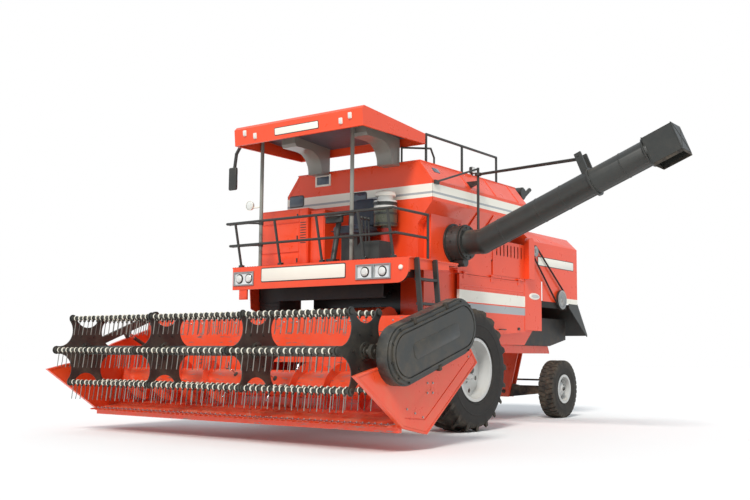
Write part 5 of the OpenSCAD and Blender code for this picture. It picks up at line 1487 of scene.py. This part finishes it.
@dataclass
class Tank(Assembly):
    """The grain tank's trim: rim, corner strips, windows, stiffeners, seams with rivets and a work lamp."""

    half: float = 1220.0
    front: float = -560.0
    rear: float = 1950.0
    waist: float = 2900.0
    lean: float = 3160.0
    top: float = 3430.0
    rim_in: float = 200.0
    # Cream-framed window: x from, x to, z from, z to; and the two dark windows below it
    window: Numbers = (-711.0, -441.0, 3245.0, 3408.0)
    windows: Rows = ((-92.0, 163.0, 2920.0, 3092.0),
                                                              (-1185.0, -935.0, 3008.0, 3146.0))
    ribs: Numbers = (350.0, 1050.0, 1700.0)
    braces: Numbers = (560.0, 980.0, 1400.0, 1800.0)
    # The sloping wall's own direction: the sine and cosine of its lean
    slope: Numbers = (0.5952, 0.8036)
    lamp: Point = (1000.0, 676.0, 3452.0)

    def build(self) -> None:
        """Makes the tank's pieces."""
        w, piece = self.half - self.rim_in, self.bench.piece
        x, front, rear = w - 3, self.front + 3, self.rear - 3
        loop = [(x, front, self.top), (x, rear, self.top), (-x, rear, self.top), (-x, front, self.top)]
        piece("tank_rim", moulding(loop, circle_profile(13), UP), BODY_PAINT, sharp=60)
        x, front = self.half, self.front
        outline = [(self.waist, x - 38), (self.waist, x + 3), (self.lean, x + 3), (self.top - 8, w + 3),
                   (self.top - 8, w - 36), (self.lean - 12, x - 38)]
        post = [(x - 2, front - 4), (x + 4, front - 4), (x + 4, front + 36), (x - 2, front + 36)]
        strips = joined([prism(outline, Axis.Y, front - 4, front + 2),
                         prism(outline, Axis.Y, self.rear - 2, self.rear + 4),
                         prism(post, Axis.Z, self.waist, self.lean)])
        piece("tank_corner_strips", strips.both(), TANK_PAINT)
        self.glazing()
        self.stiffeners()
        self.work_lamp()

    def glazing(self) -> None:
        """The cream-framed window high in front, two dark ones below it and one in the left wall's slope."""
        piece, front = self.bench.piece, self.front
        x0, x1, z0, z1 = self.window
        loop = [(x0, front, z0), (x1, front, z0), (x1, front, z1), (x0, front, z1)]
        profile = [(-26, -2), (-26, 12), (-20, 16), (-4, 16), (0, 12), (0, -2)]
        piece("tank_window_frame", moulding(loop, profile, AHEAD), CREAM_PAINT)
        panes, rubbers = [slab(Axis.Y, (z0 + 4, x0 + 4), (z1 - 4, x1 - 4), front + 2, front - 4, 6, 1)], []
        for x0, x1, z0, z1 in self.windows:
            panes.append(slab(Axis.Y, (z0, x0), (z1, x1), front + 2, front - 4, 26, 1))
            rubbers.append(slab(Axis.Y, (z0 - 16, x0 - 16), (z1 + 16, x1 + 16), front + 2, front - 3, 38, 2))
        piece("tank_panes", joined(panes), PANE_GLASS)
        piece("tank_window_rubbers", joined(rubbers), CHARCOAL_PAINT)
        sin, cos = self.slope
        onto = Matrix(((0, -sin, cos, 1095), (1, 0, 0, -300), (0, cos, sin, 3329), (0, 0, 0, 1)))
        pane = slab(Axis.Z, (-75, -40), (75, 40), -3, 6, 20, 2)
        piece("tank_side_pane", pane.turned(onto), PANE_GLASS)

    def stiffeners(self) -> None:
        """Folded ribs up the sloping walls, braces under the overhang, and rivets along the seams."""
        rise, (sin, cos) = math.hypot(self.rim_in, self.top - self.lean), self.slope
        ribs = []
        for y in self.ribs:
            up = Matrix(((-sin, 0, cos, self.half), (0, -1, 0, y), (cos, 0, sin, self.lean), (0, 0, 0, 1)))
            ribs.append(rounded_box((8, -15, -3), (rise - 8, 15, 8), 5).turned(up))
        brace = [(2636, 992), (2900, 1212), (2876, 1218), (2618, 1016)]
        ribs += [prism(brace, Axis.Y, y - 4, y + 4) for y in self.braces]
        self.bench.piece("tank_ribs", joined(ribs).both(), BODY_PAINT)
        x, front = self.half, self.front
        rows = [(line_of((s * x, front + 80, z), (s * x, self.rear - 60, z), 14), (s, 0, 0))
                for s in (-1, 1) for z in (2918, 3142)]
        rows += [(line_of((60 - x, front, z), (x - 60, front, z), 16), AHEAD) for z in (2918, 3150)]
        self.bench.piece("tank_seam_rivets", rivets(14, rows), BODY_PAINT)

    def work_lamp(self) -> None:
        """A black work lamp on a bracket on the left rim, and its lens."""
        x, y, z = self.lamp
        body = rounded_box((x, y, z), (x + 52, y + 100, z + 96), 14, 3)
        foot = rounded_box((x + 6, y + 36, z - 28), (x + 30, y + 64, z + 4), 4)
        self.bench.piece("work_lamp", joined([body, foot]), CHARCOAL_PAINT)
        lens = slab(Axis.X, (y + 10, z + 10), (y + 90, z + 86), x + 50, x + 58, 12, 3)
        self.bench.piece("work_lamp_lens", lens, LAMP_GLASS)


@dataclass
class Unloader(Assembly):
    """The unloading auger's trim: bolted flanges, tube seams, spout folds and its rubber hem."""

    elbow: Point = (1550.0, 120.0, 2420.0)
    rise: float = 22.0
    length: float = 2420.0
    radius: float = 160.0
    hinge_x: float = 1300.0
    # Seams: place along the tube
    seams: Numbers = (330.0, 900.0, 1250.0, 2080.0)
    end_ring: float = 2396.0
    # Spout box: length, half width, lower edge, upper edge
    box: Numbers = (390.0, 150.0, -190.0, 150.0)

    def along(self, surface: Surface) -> Surface:
        """Carries a form made along x at the origin onto the rising tube."""
        turn = Matrix.Rotation(math.radians(-self.rise), 4, "Y")
        return surface.turned(Matrix.Translation(self.elbow) @ turn)

    def build(self) -> None:
        """Makes the unloader's pieces."""
        piece, r, x = self.bench.piece, self.radius, self.hinge_x
        _, y, z = self.elbow
        fixed = bolts(16, [(ring_of((x - 98, y, z), 247, 12), (-1, 0, 0))])
        hub_ring = revolved([(-16, 206), (-16, 236), (0, 236), (0, 206)], Axis.X, (x - 2, y, z), 64, True)
        piece("auger_hub_bolts", joined([fixed, hub_ring]), CHARCOAL_PAINT)
        moving = bolts(20, [(ring_of((x + 30, y, z), 195, 12, first=15), LEFTWARDS)])
        piece("auger_flange_bolts", moving, DARK_STEEL, "unloader")
        profiles = [[(at - 9, r - 1), (at - 5, r + 4), (at + 5, r + 4), (at + 9, r - 1)] for at in self.seams]
        start, end = self.end_ring, self.end_ring + 16
        profiles.append([(start, r - 1), (start, r + 26), (end, r + 26), (end, r - 1)])
        seams = [revolved(profile, Axis.X, ORIGIN, 64) for profile in profiles]
        # The lengthwise seam below: y in shares of its half width, and height over the tube
        section = ((-1, -1), (-0.6, 3), (0.6, 3), (1, -1))
        spine = grid(np.array([[(at, y * 7, -r - 1 - h) for at in (60, 2390)] for y, h in section]))
        piece("auger_tube_seams", self.along(joined([*seams, spine])), CHARCOAL_PAINT, "unloader")
        rings = [(ring_of((1650, 0, 0), 172, 10), (-1, 0, 0)), (ring_of((start, 0, 0), 174, 12), (-1, 0, 0))]
        piece("auger_ring_bolts", self.along(bolts(14, rings)), DARK_STEEL, "unloader")
        self.spout()

    def spout(self) -> None:
        """Folds round the spout box's two ends, a pressed cross on its far end and a rubber hem below."""
        long, half, low, high = self.box
        x0, x1 = self.length, self.length + long
        fold = [(-5, -3), (-5, 4), (2, 6), (7, 4), (7, -3)]
        ring = [(-half, low), (half, low), (half, high), (-half, high)]
        folds = [moulding([(x, y, z) for y, z in ring], fold, LEFTWARDS) for x in (x1 - 8, x0 + 8)]
        a, b = half - 20, high - 20
        cross = [tube([(x1 - 1, -s * a, low + 20), (x1 - 1, s * a, b)], 6, 8) for s in (1, -1)]
        self.bench.piece("spout_folds", self.along(joined(folds + cross)), CHARCOAL_PAINT, "unloader")
        y, z = half - 6, low - 2
        mouth = [(x0 + 26, -y, z), (x1 - 6, -y, z), (x1 - 6, y, z), (x0 + 26, y, z)]
        hem = moulding(mouth, [(-3, -34), (-3, 6), (3, 6), (4, -34)], UP)
        self.bench.piece("spout_rubber_hem", self.along(hem), DRIVE_RUBBER, "unloader")


@dataclass
class Sides(Assembly):
    """The side shields, the straw hood and the belt drive: folds, latches, plates, pulleys and lamps."""

    face: float = 1000.0
    outline: Outline = ((420.0, 2052.0), (420.0, 1620.0), (1000.0, 1220.0), (2280.0, 1310.0),
                        (2280.0, 2052.0))
    # Pressed swages of a shield: y from, y to, z
    swages: Rows = ((470.0, 2230.0, 1905.0), (560.0, 2230.0, 1870.0))
    latches: Outline = ((1050.0, 1282.0), (2080.0, 1352.0))
    oval: Numbers = (2590.0, 1858.0)
    rear: float = 4100.0
    rear_lamp_x: float = 900.0
    belt_x: float = 1046.0
    # Pulleys: y, z, radius, nuts
    pulleys: Rows = ((2560.0, 2540.0, 80.0, 4), (3450.0, 1850.0, 150.0, 6))

    def build(self) -> None:
        """Makes the pieces of both sides."""
        for side in Side:
            self.shield(side)
        self.hood()
        self.belts()

    def boss(self, half_y: float, half_z: float, start: float, rise: float, exponent: int) -> Surface:
        """An oval boss: it rises from the panel by 1 minus the share of its radius to the exponent.

        Args:
            half_y: half its length.
            half_z: half its height.
            start: how far its edge stands off the side.
            rise: how far its middle stands off its edge.
            exponent: the higher, the flatter its crown.

        Returns:
            The surface on the left side.
        """
        (y, z), steps = self.oval, 48
        a, r = net(0, 2 * np.pi * (steps - 1) / steps, steps, 1, 0, 12)
        x = self.face + start + rise * (1 - r ** exponent)
        return grid(np.stack([x, y + half_y * r * np.cos(a), z + half_z * r * np.sin(a)], -1), True)

    def shield(self, side: Side) -> None:
        """One shield: folded edge, swages, latches and a grab handle; the oval boss on the panel behind it.

        Args:
            side: the machine's side.
        """
        body, x, piece = f"shield_{side.word}", self.face, self.bench.piece
        loop = [(x, y, z) for y, z in self.outline]
        fold = moulding(loop, [(0, -4), (0, 3), (6, 5), (15, 5), (18, 0), (18, -4)], (-1, 0, 0))
        swages = [tube([(x - 2, y, z) for y in (y0, y0 + 8, y1 - 8, y1)], 8, 10) for y0, y1, z in self.swages]
        piece(f"{body}_folds", joined([fold, *swages]).on(side), SHIELD_PAINT, body)
        piece(f"side_oval_{side.word}", self.boss(172, 50, 0, 12, 5).on(side), CREAM_PAINT, sharp=80)
        inset = self.boss(120, 26, 12.5, 1.5, 3)
        piece(f"side_oval_inset_{side.word}", inset.on(side), SILVER_PAINT, sharp=80)
        parts = [slab(Axis.X, (y - 34, z - 20), (y + 34, z + 20), x - 1, x + 7, 9) for y, z in self.latches]
        parts += [rounded_box((x + 5, y - 22, z - 7), (x + 20, y + 22, z + 7), 5) for y, z in self.latches]
        grip = ((0, 1500), (34, 1500), (42, 1512), (42, 1628), (34, 1640), (0, 1640))
        parts.append(tube([(x + out, y, 1330) for out, y in grip], 7, 10))
        piece(f"{body}_latches", joined(parts).on(side), CHARCOAL_PAINT, body)

    def hood(self) -> None:
        """Blank plates on the straw hood, seam rivets, rubber aprons and rear lamps."""
        x, y, piece = self.face, self.rear, self.bench.piece
        plate, border = framed(Axis.X, (2715, 2350), (3950, 2474), x - 1, (x + 5, x + 3), (16, 22), 10)
        piece("hood_plates", plate.both(), CREAM_PAINT)
        piece("hood_plate_borders", border.both(), CHARCOAL_PAINT)
        # Rivet rows: y and z from, y and z to, rivets
        seams = ((2500, 2150, 2500, 2600, 6), (4070, 2150, 4070, 2600, 6), (2620, 2610, 3980, 2610, 11))
        rows = [(line_of((s * x, y0, z0), (s * x, y1, z1), count), (s, 0, 0))
                for s in (-1, 1) for y0, z0, y1, z1, count in seams]
        piece("hood_rivets", rivets(15, rows), BODY_PAINT)
        apron = prism([(2832, 1806), (2832, 1706), (3690, 1706), (3690, 1806)], Axis.X, x - 12, x - 4)
        piece("hood_aprons", apron.both(), BELT_RUBBER)
        places = (-self.rear_lamp_x, self.rear_lamp_x)
        lamps = [slab(Axis.Y, (2120, at - 45), (2240, at + 45), y - 1, y + 34, 14, 6) for at in places]
        bowls = [slab(Axis.Y, (2110, at - 54), (2250, at + 54), y - 1, y + 14, 18, 3) for at in places]
        piece("rear_lamps", joined(lamps), RED_GLASS)
        piece("rear_lamp_housings", joined(bowls), CHARCOAL_PAINT)

    def belts(self) -> None:
        """Turned steel faces with rims, hubs and nuts on the belt's two pulleys."""
        x, faces, nuts = self.belt_x, [], []
        for y, z, r, count in self.pulleys:
            profile = [(-4, r), (4, r), (5, r - 6), (2, r - 12), (-3, 0.55 * r), (3, 0.42 * r), (12, 34),
                       (14, 26), (14, 0)]
            faces.append(revolved(profile, Axis.X, (x, y, z), 56))
            nuts.append((ring_of((x + 6, y, z), 0.34 * r, count), LEFTWARDS))
        self.bench.piece("pulley_faces", joined(faces), PULLEY_STEEL)
        self.bench.piece("pulley_nuts", bolts(13, nuts), BRIGHT_STEEL)


@dataclass
class Tyre:
    """One moulded tyre: a carcass with raised rings on its sidewalls and two rows of lugs or blocks.

    Along each half the radius follows the carcass; inside a lug it rises to the lug's top, over flanks a few
    millimetres wide. The lugs lie aslant: their middle lines move round the tyre by the tangent of the angle
    for each millimetre outwards, and the two halves stand half a lug apart.
    """

    radius: float
    half: float
    bead: float
    lug_h: float
    lug_w: float
    flank: float
    count: int
    angle: float

    def surface(self) -> Surface:
        """Both halves round the x axis, at the origin."""
        return joined([self.half_tyre(1, 0.0), self.half_tyre(-1, -0.5)])

    def section(self) -> Array:
        """The section of one half, from the tread's middle over the sidewall to the middle of the rim's seat.

        Returns:
            Rows of share of the half width, radius between lugs and radius on a lug.
        """
        h, bead, top = self.lug_h, self.bead, self.radius
        crown = top - h
        side = bead + 0.48 * (crown - bead)
        tread = [(0, crown, crown), (0.03, crown, crown), (0.055, crown, top - 2), (0.3, crown, top),
                 (0.55, crown, top), (0.72, crown - 0.25 * h, top), (0.85, crown - 0.5 * h, top - 1),
                 (0.93, crown - 1.25 * h, top - 0.35 * h), (0.965, crown - 1.9 * h, crown - 0.6 * h),
                 (0.98, crown - 2.4 * h, crown - 2.2 * h)]
        # Smooth rows have one radius: share and radius
        wall = [(1.0, side + 26), (1.018, side + 20), (1.018, side + 10), (1.0, side + 4), (0.985, side - 40),
                (0.93, bead + 56), (0.945, bead + 50), (0.945, bead + 42), (0.87, bead + 34),
                (0.82, bead + 26), (0.82, bead + 2), (0, bead + 2)]
        return np.array(tread + [(share, r, r) for share, r in wall])

    def half_tyre(self, sign: int, phase: float) -> Surface:
        """One half, its section carried round the axle with the lugs' rise.

        Args:
            sign: 1 for the half towards +x, -1 for the other.
            phase: turn of its lugs, in lugs.

        Returns:
            The surface.
        """
        share, low, high = self.section().T[:, :, None]
        crown = self.radius - self.lug_h
        pitch = 2 * math.pi * crown / self.count
        near = pitch / 2 - self.lug_w / 2
        foot = near - self.flank
        marks = np.array([0, foot / 2, foot, near, pitch / 2, pitch - near, pitch - foot, pitch - foot / 2])
        rise = np.array([0, 0, 0, 1, 1, 1, 0, 0])
        even = np.arange(len(marks)) * pitch / len(marks)
        start = (np.arange(self.count) + phase)[:, None] * pitch
        shear = (np.minimum(share, 0.93) - 0.45) * self.half * math.tan(math.radians(self.angle))
        around = np.where(share == 0, (start + even).reshape(1, -1), (start + marks).reshape(1, -1)) + shear
        r = low + np.tile(rise, self.count)[None] * (high - low)
        turn = around / crown
        x = np.broadcast_to(sign * share * self.half, r.shape)
        return grid(np.stack([x, r * np.sin(turn), r * np.cos(turn)], -1), False, True)


@dataclass
class Wheel:
    """One kind of wheel: its place on the left, its tyre, and its nuts and hub."""

    kind: str
    finish: Rubber
    centre: Point
    tyre: Tyre
    nut_ring: float
    nuts_out: float
    nuts: int
    across: float
    hub_out: float
    hub_r: float

    def trim(self) -> tuple[Surface, Surface]:
        """Nuts round the hub, a domed cap with its own screws, and the valve.

        Returns:
            The bright nuts and screws, and the dark cap with the valve.
        """
        x, y, z = self.centre
        out, hub, r, top = x + self.nuts_out, x + self.hub_out, self.hub_r, z + self.nut_ring + 70
        nuts = bolts(self.across, [(ring_of((out, y, z), self.nut_ring, self.nuts), LEFTWARDS)])
        screws = bolts(0.55 * self.across, [(ring_of((hub, y, z), 0.78 * r, 6), LEFTWARDS)])
        dome = [(-2, 0.6 * r), (10, 0.6 * r), (20, 0.52 * r), (28, 0.32 * r), (31, 0)]
        valve = tube([(out - 24, y, top), (out + 4, y, top + 4), (out + 22, y, top)], 6, 8)
        return joined([nuts, screws]), joined([revolved(dome, Axis.X, (hub, y, z), 40), valve])


@dataclass
class Wheels(Assembly):
    """The four wheels: tyres, nuts, hub caps and valves."""

    drive: Wheel = field(default_factory=lambda: Wheel(
        "drive", DRIVE_RUBBER, (1305.0, 0.0, 775.0),
        Tyre(radius=775, half=233.5, bead=381, lug_h=36, lug_w=42, flank=9, count=20, angle=42),
        nut_ring=156, nuts_out=66, nuts=8, across=26, hub_out=130, hub_r=84))
    steer: Wheel = field(default_factory=lambda: Wheel(
        "steer", STEER_RUBBER, (923.0, 3500.0, 447.5),
        Tyre(radius=447.5, half=127.5, bead=203, lug_h=11, lug_w=54, flank=4, count=36, angle=14),
        nut_ring=97, nuts_out=56, nuts=6, across=20, hub_out=95, hub_r=43))

    def build(self) -> None:
        """Makes each wheel's pieces on the left and reflects them to the right."""
        for wheel in (self.drive, self.steer):
            tyre = wheel.tyre.surface().moved(wheel.centre)
            nuts, cap = wheel.trim()
            for side in Side:
                body = f"{wheel.kind}_wheel_{side.word}"
                self.bench.piece(f"{body}_tyre", tyre.on(side), wheel.finish, body,
                                 replaces=(f"{wheel.kind}_tyre_{side.word}",), sharp=28)
                self.bench.piece(f"{body}_nuts", nuts.on(side), BRIGHT_STEEL, body)
                self.bench.piece(f"{body}_cap", cap.on(side), CHARCOAL_PAINT, body)


@dataclass
class Header(Assembly):
    """The header's trim: folds, stiffeners, bolts, cover latches, knife sections and guards' bolts."""

    half: float = 2365.0
    back: float = -2065.0
    outline: Outline = ((-3540.0, 740.0), (-3320.0, 790.0), (-3050.0, 830.0), (-2620.0, 1050.0),
                        (-1940.0, 1280.0), (-1800.0, 1270.0), (-1450.0, 880.0), (-2410.0, 180.0),
                        (-2820.0, 262.0))
    intake: Numbers = (-2350.0, 620.0)
    ribs: Numbers = (700.0, 1060.0, 1420.0, 1780.0, 2140.0)
    beam_z: float = 1330.0
    beam_end: float = 2290.0
    # Rows of bolts on each end panel: y and z from, y and z to, bolts
    rows: Rows = ((-2760.0, 420.0, -2480.0, 330.0, 3), (-1900.0, 1190.0, -1600.0, 940.0, 4))
    sections: int = 60
    # The belt cover: how far out its face lies, y and z of its two middles, and its screws' circle
    cover_out: float = 175.0
    cover_ends: Outline = ((-2980.0, 950.0), (-1980.0, 1250.0))
    screw_circle: Numbers = (-522.0, 268.0)

    def build(self) -> None:
        """Makes the header's pieces."""
        loop = [(self.half, y, z) for y, z in self.outline]
        fold = moulding(loop, [(-2, -44), (-2, 3), (-8, 6), (-20, 6), (-24, 0), (-24, -44)], LEFTWARDS)
        plate = revolved([(0, 96), (10, 96), (12, 92), (12, 40), (18, 36), (18, 0)], Axis.X, ORIGIN, 40)
        flange = plate.moved((self.half, *self.intake)).mirrored()
        self.bench.piece("end_panel_folds", joined([fold.both(), flange]), BODY_PAINT, "header")
        self.stiffeners()
        self.knife()
        self.cover()

    def stiffeners(self) -> None:
        """Folded channels down the rear wall and under the floor, and bolts on the beam and end panels."""
        y, half, ribs = self.back + 6, self.half, []
        for x in self.ribs:
            wall = [(x - 30, y - 2), (x - 22, y + 36), (x + 22, y + 36), (x + 30, y - 2)]
            floor = [(y - 240, 286), (y - 780, 256), (y - 780, 228), (y - 240, 252)]
            ribs += [prism(wall, Axis.Z, 640, 1280), prism(floor, Axis.X, x - 20, x + 20)]
        self.bench.piece("header_stiffeners", joined(ribs).both(), CROP_PAINT, "header")
        end, z = self.beam_end, self.beam_z
        rows = [(line_of((-end, at, z), (end, at, z), 24), way)
                for at, way in ((self.back, AHEAD), (self.back + 100, BACKWARDS))]
        for s in (-1, 1):
            rows += [(line_of((s * half, y0, z0), (s * half, y1, z1), count), (s, 0, 0))
                     for y0, z0, y1, z1, count in self.rows]
            # The flange on the right end panel is 12 mm thick
            rows.append((ring_of((s * (half + 12 * (s < 0)), *self.intake), 70, 4, first=45), (s, 0, 0)))
        self.bench.piece("header_bolts", bolts(18, rows), BRIGHT_STEEL, "header")

    def knife(self) -> None:
        """Knife sections between the guards, triangles with blunt tips, and a bolt on each guard."""
        end, n = self.half - 40, self.sections
        step = 2 * end / n
        root, heel, tip, blunt = 0.48 * step, -2874, -2952, 6
        below, above = ([(-root, heel, z0), (root, heel, z0), (blunt, tip, z1), (-blunt, tip, z1)]
                        for z0, z1 in ((271, 268), (275, 270)))
        faces = [(3, 2, 1, 0), (4, 5, 6, 7), (0, 1, 5, 4), (1, 2, 6, 5), (2, 3, 7, 6), (3, 0, 4, 7)]
        places = np.tile(np.eye(4), (n - 1, 1, 1))
        places[:, 0, 3] = -end + step * np.arange(1, n)
        blades = Surface(np.array(below + above), [np.array(faces)]).repeated(places)
        self.bench.piece("knife_sections", blades, ROD_STEEL, "header")
        spots = np.stack([-end + step * (np.arange(n) + 0.5), np.full(n, -2863.0), np.full(n, 274.0)], -1)
        self.bench.piece("knife_guard_bolts", bolts(15, [(spots, UP)]), BRIGHT_STEEL, "header")

    def cover(self) -> None:
        """Rubber latches and screws on the belt cover, and a raised blank panel in its middle."""
        low, high = np.array(self.cover_ends)
        way, middle = high - low, (low + high) / 2
        lean = Matrix.Translation((self.half + self.cover_out, *middle)) @ Matrix.Rotation(
            math.atan2(way[1], way[0]), 4, "X")
        panel = slab(Axis.X, (-430, -78), (430, 78), -2, 5, 40, 3)
        self.bench.piece("belt_cover_panel", panel.turned(lean), CHARCOAL_PAINT, "header")
        latches = [rounded_box((-60, u - 22, w - 34), (-10, u + 22, w + 34), 8, 3)
                   for u, w in ((-300, 282), (300, 282), (0, -282))]
        self.bench.piece("belt_cover_latches", joined(latches).turned(lean), DRIVE_RUBBER, "header")
        centre, r = self.screw_circle
        a = np.radians([100, 140, 180, 220, 260])
        near = np.stack([np.full(5, -14.0), centre + r * np.cos(a), r * np.sin(a)], -1)
        screws = bolts(16, [(np.concatenate([near, near * [1, -1, 1]]), LEFTWARDS)])
        self.bench.piece("belt_cover_screws", screws.turned(lean), DARK_STEEL, "header")


@dataclass
class Reel(Assembly):
    """The reel's trim: hub rings and bolts on the star plates; clips, tines, coils and bearings on the bats.

    The bats' solids carry tines from 70 mm beside each star plate, in even steps, and the trim adds one
    between each two.
    """

    plate_end: float = 2150.0
    bays: int = 3
    count: int = 9
    clear: float = 70.0
    coil_r: float = 11.0
    coil_wire: float = 2.6
    tine_r: float = 4.6

    def build(self) -> None:
        """Makes the pieces of the star plates and of the six bats."""
        plates = np.linspace(-self.plate_end, self.plate_end, self.bays + 1)
        rings, rows = [], []
        for x in plates:
            for s in (-1, 1):
                profile = [(0, 92), (s * 14, 92), (s * 16, 86), (s * 16, 56)]
                rings.append(revolved(profile, Axis.X, (x + s * 5, REEL_Y, REEL_Z), 40))
                rows += [(ring_of((x + s * out, REEL_Y, REEL_Z), r, 6), (s, 0, 0))
                         for out, r in ((20, 74), (5, 190))]
        self.bench.piece("reel_hub_rings", joined(rings), CHARCOAL_PAINT, "reel")
        self.bench.piece("reel_plate_bolts", bolts(18, rows), DARK_STEEL, "reel")
        step = (plates[1] - plates[0] - 2 * self.clear) / (self.count - 1)
        main, extra = (np.add.outer(plates[:-1] + self.clear, step * steps).ravel()
                       for steps in (np.arange(self.count), np.arange(self.count - 1) + 0.5))
        ring = [(8, 21), (8, 33), (20, 33), (24, 28), (24, 21)]
        bearing = joined([revolved([(s * at, r) for at, r in ring], Axis.X, ORIGIN, 24) for s in (-1, 1)])
        for number in range(BATS):
            self.bat(number, bearing, plates, extra, np.concatenate([main, extra]))

    def bat(self, number: int, bearing: Surface, plates: Array, extra: Array, both: Array) -> None:
        """One bat: tines between the solid's own, a cream clip, an ear and a coil at each, and bearing rings.

        Args:
            number: the bat's number round the reel, from nought.
            bearing: the pair of rings at a star plate.
            plates: the star plates' places.
            extra: places of the added tines.
            both: places of all tines.
        """
        body = f"bat_{number + 1}"
        clip = revolved([(-7, 20), (-7, 29), (-5, 31.5), (5, 31.5), (7, 29), (7, 20)], Axis.X, ORIGIN, 16)
        ear = rounded_box((-8, -14, -46), (8, 12, -18), 4, 1)
        tine = tube([(0, -4, -26), (0, -9, -80), (0, -16, -140), (0, -27, -200)], self.tine_r, 6)
        a = np.linspace(0, 5 * np.pi, 32)
        helix = [-12 + 24 * a / a[-1], -4 + self.coil_r * np.cos(a), -36 + self.coil_r * np.sin(a)]
        coil = tube(np.stack(helix, -1), self.coil_wire, 5)
        at_both, at_extra, at_plates = (self.places(number, x) for x in (both, extra, plates))
        piece = self.bench.piece
        piece(f"{body}_clips", clip.repeated(at_both), HOLDER_NYLON, body)
        piece(f"{body}_ears", ear.repeated(at_both), CHARCOAL_PAINT, body)
        springs = joined([tine.repeated(at_extra), coil.repeated(at_both)])
        piece(f"{body}_tines", springs, SPRING_STEEL, body, sharp=60)
        piece(f"{body}_bearings", bearing.repeated(at_plates), CHARCOAL_PAINT, body)

    def places(self, number: int, x: Array) -> Array:
        """Matrices that carry a form to places along a bat.

        Args:
            number: the bat's number round the reel, from nought.
            x: the places.

        Returns:
            One 4 by 4 matrix for each place.
        """
        matrices = np.tile(np.eye(4), (len(x), 1, 1))
        matrices[:, 0, 3] = x
        matrices[:, 1:3, 3] = bat_axis(number)
        return matrices


@dataclass
class Intake(Assembly):
    """The intake auger in its full form: flights that thin towards their edge, tube, stubs and fingers."""

    y: float = -2350.0
    z: float = 620.0
    tube_r: float = 150.0
    flight_r: float = 250.0
    pitch: float = 480.0
    inner: float = 560.0
    outer: float = 2285.0
    shaft_r: float = 25.0
    shaft_end: float = 2360.0
    fingers: int = 14
    finger_turn: float = 137.0

    def build(self) -> None:
        """Makes the flights and the tube, and the steel fingers with their guides."""
        half = [(self.outer - 8, self.tube_r), (self.outer, self.tube_r - 8), (self.outer, self.shaft_r),
                (self.shaft_end, self.shaft_r), (self.shaft_end, 0)]
        barrel = revolved([(-x, r) for x, r in reversed(half)] + half, Axis.X, (0, self.y, self.z), 64)
        auger = joined([barrel, self.flight().both()])
        self.bench.piece("intake_auger_tube", auger, CROP_PAINT, "intake", replaces=("intake_auger",),
                         sharp=40)
        number = np.arange(self.fingers)
        x, turns = self.inner * ((number + 0.5) * 2 / self.fingers - 1), np.radians(self.finger_turn) * number
        places = np.array([Matrix.Translation((at, self.y, self.z)) @ Matrix.Rotation(turn, 4, "X")
                           for at, turn in zip(x, turns)])
        finger = revolved([(140, 8), (228, 8), (236, 6), (240, 0)], Axis.Z, ORIGIN, 14)
        guide = revolved([(144, 30), (156, 28), (160, 20), (160, 9)], Axis.Z, ORIGIN, 20)
        self.bench.piece("intake_fingers", finger.repeated(places), ROD_STEEL, "intake")
        self.bench.piece("intake_finger_guides", guide.repeated(places), CHARCOAL_PAINT, "intake")

    def flight(self) -> Surface:
        """The left flight, a helicoid: at turn t the strip lies along (-sin t, -cos t) and x grows by one
        pitch for each full turn; its thickness falls from 16 mm at the tube to 4 mm at the edge.

        Returns:
            The surface, closed at both ends.
        """
        turns = np.linspace(0, 2 * np.pi * (self.outer - self.inner) / self.pitch, 240)[:, None]
        root, edge = self.tube_r, self.flight_r
        side = [(root - 4, 8), (root + 4, 6), (edge - 4, 3), (edge, 2)]
        section = np.array([(r, -half) for r, half in side] + side[::-1])
        r, across = section.T[:, None]
        x = np.clip(self.inner + self.pitch * turns / (2 * np.pi) + across, self.inner, self.outer)
        points = np.stack([x, self.y - r * np.sin(turns), self.z - r * np.cos(turns)], -1)
        return capped(grid(points, False, True), len(section))


def main() -> None:
    """Builds the machine's parts in order and reports each through the log."""
    logging.basicConfig(level=logging.INFO, format="%(name)s: %(message)s")
    bench = Bench()
    for kind in (CadFinishes, Canopy, Platform, Rails, Mirror, Station, Tank, Unloader, Sides, Wheels, Header,
                 Reel, Intake):
        kind(bench).build()
        LOG.info("%s: %d pieces so far", kind.__name__, len(bench.made))
    Studio().build()
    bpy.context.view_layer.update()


if __name__ == "__main__":
    main()
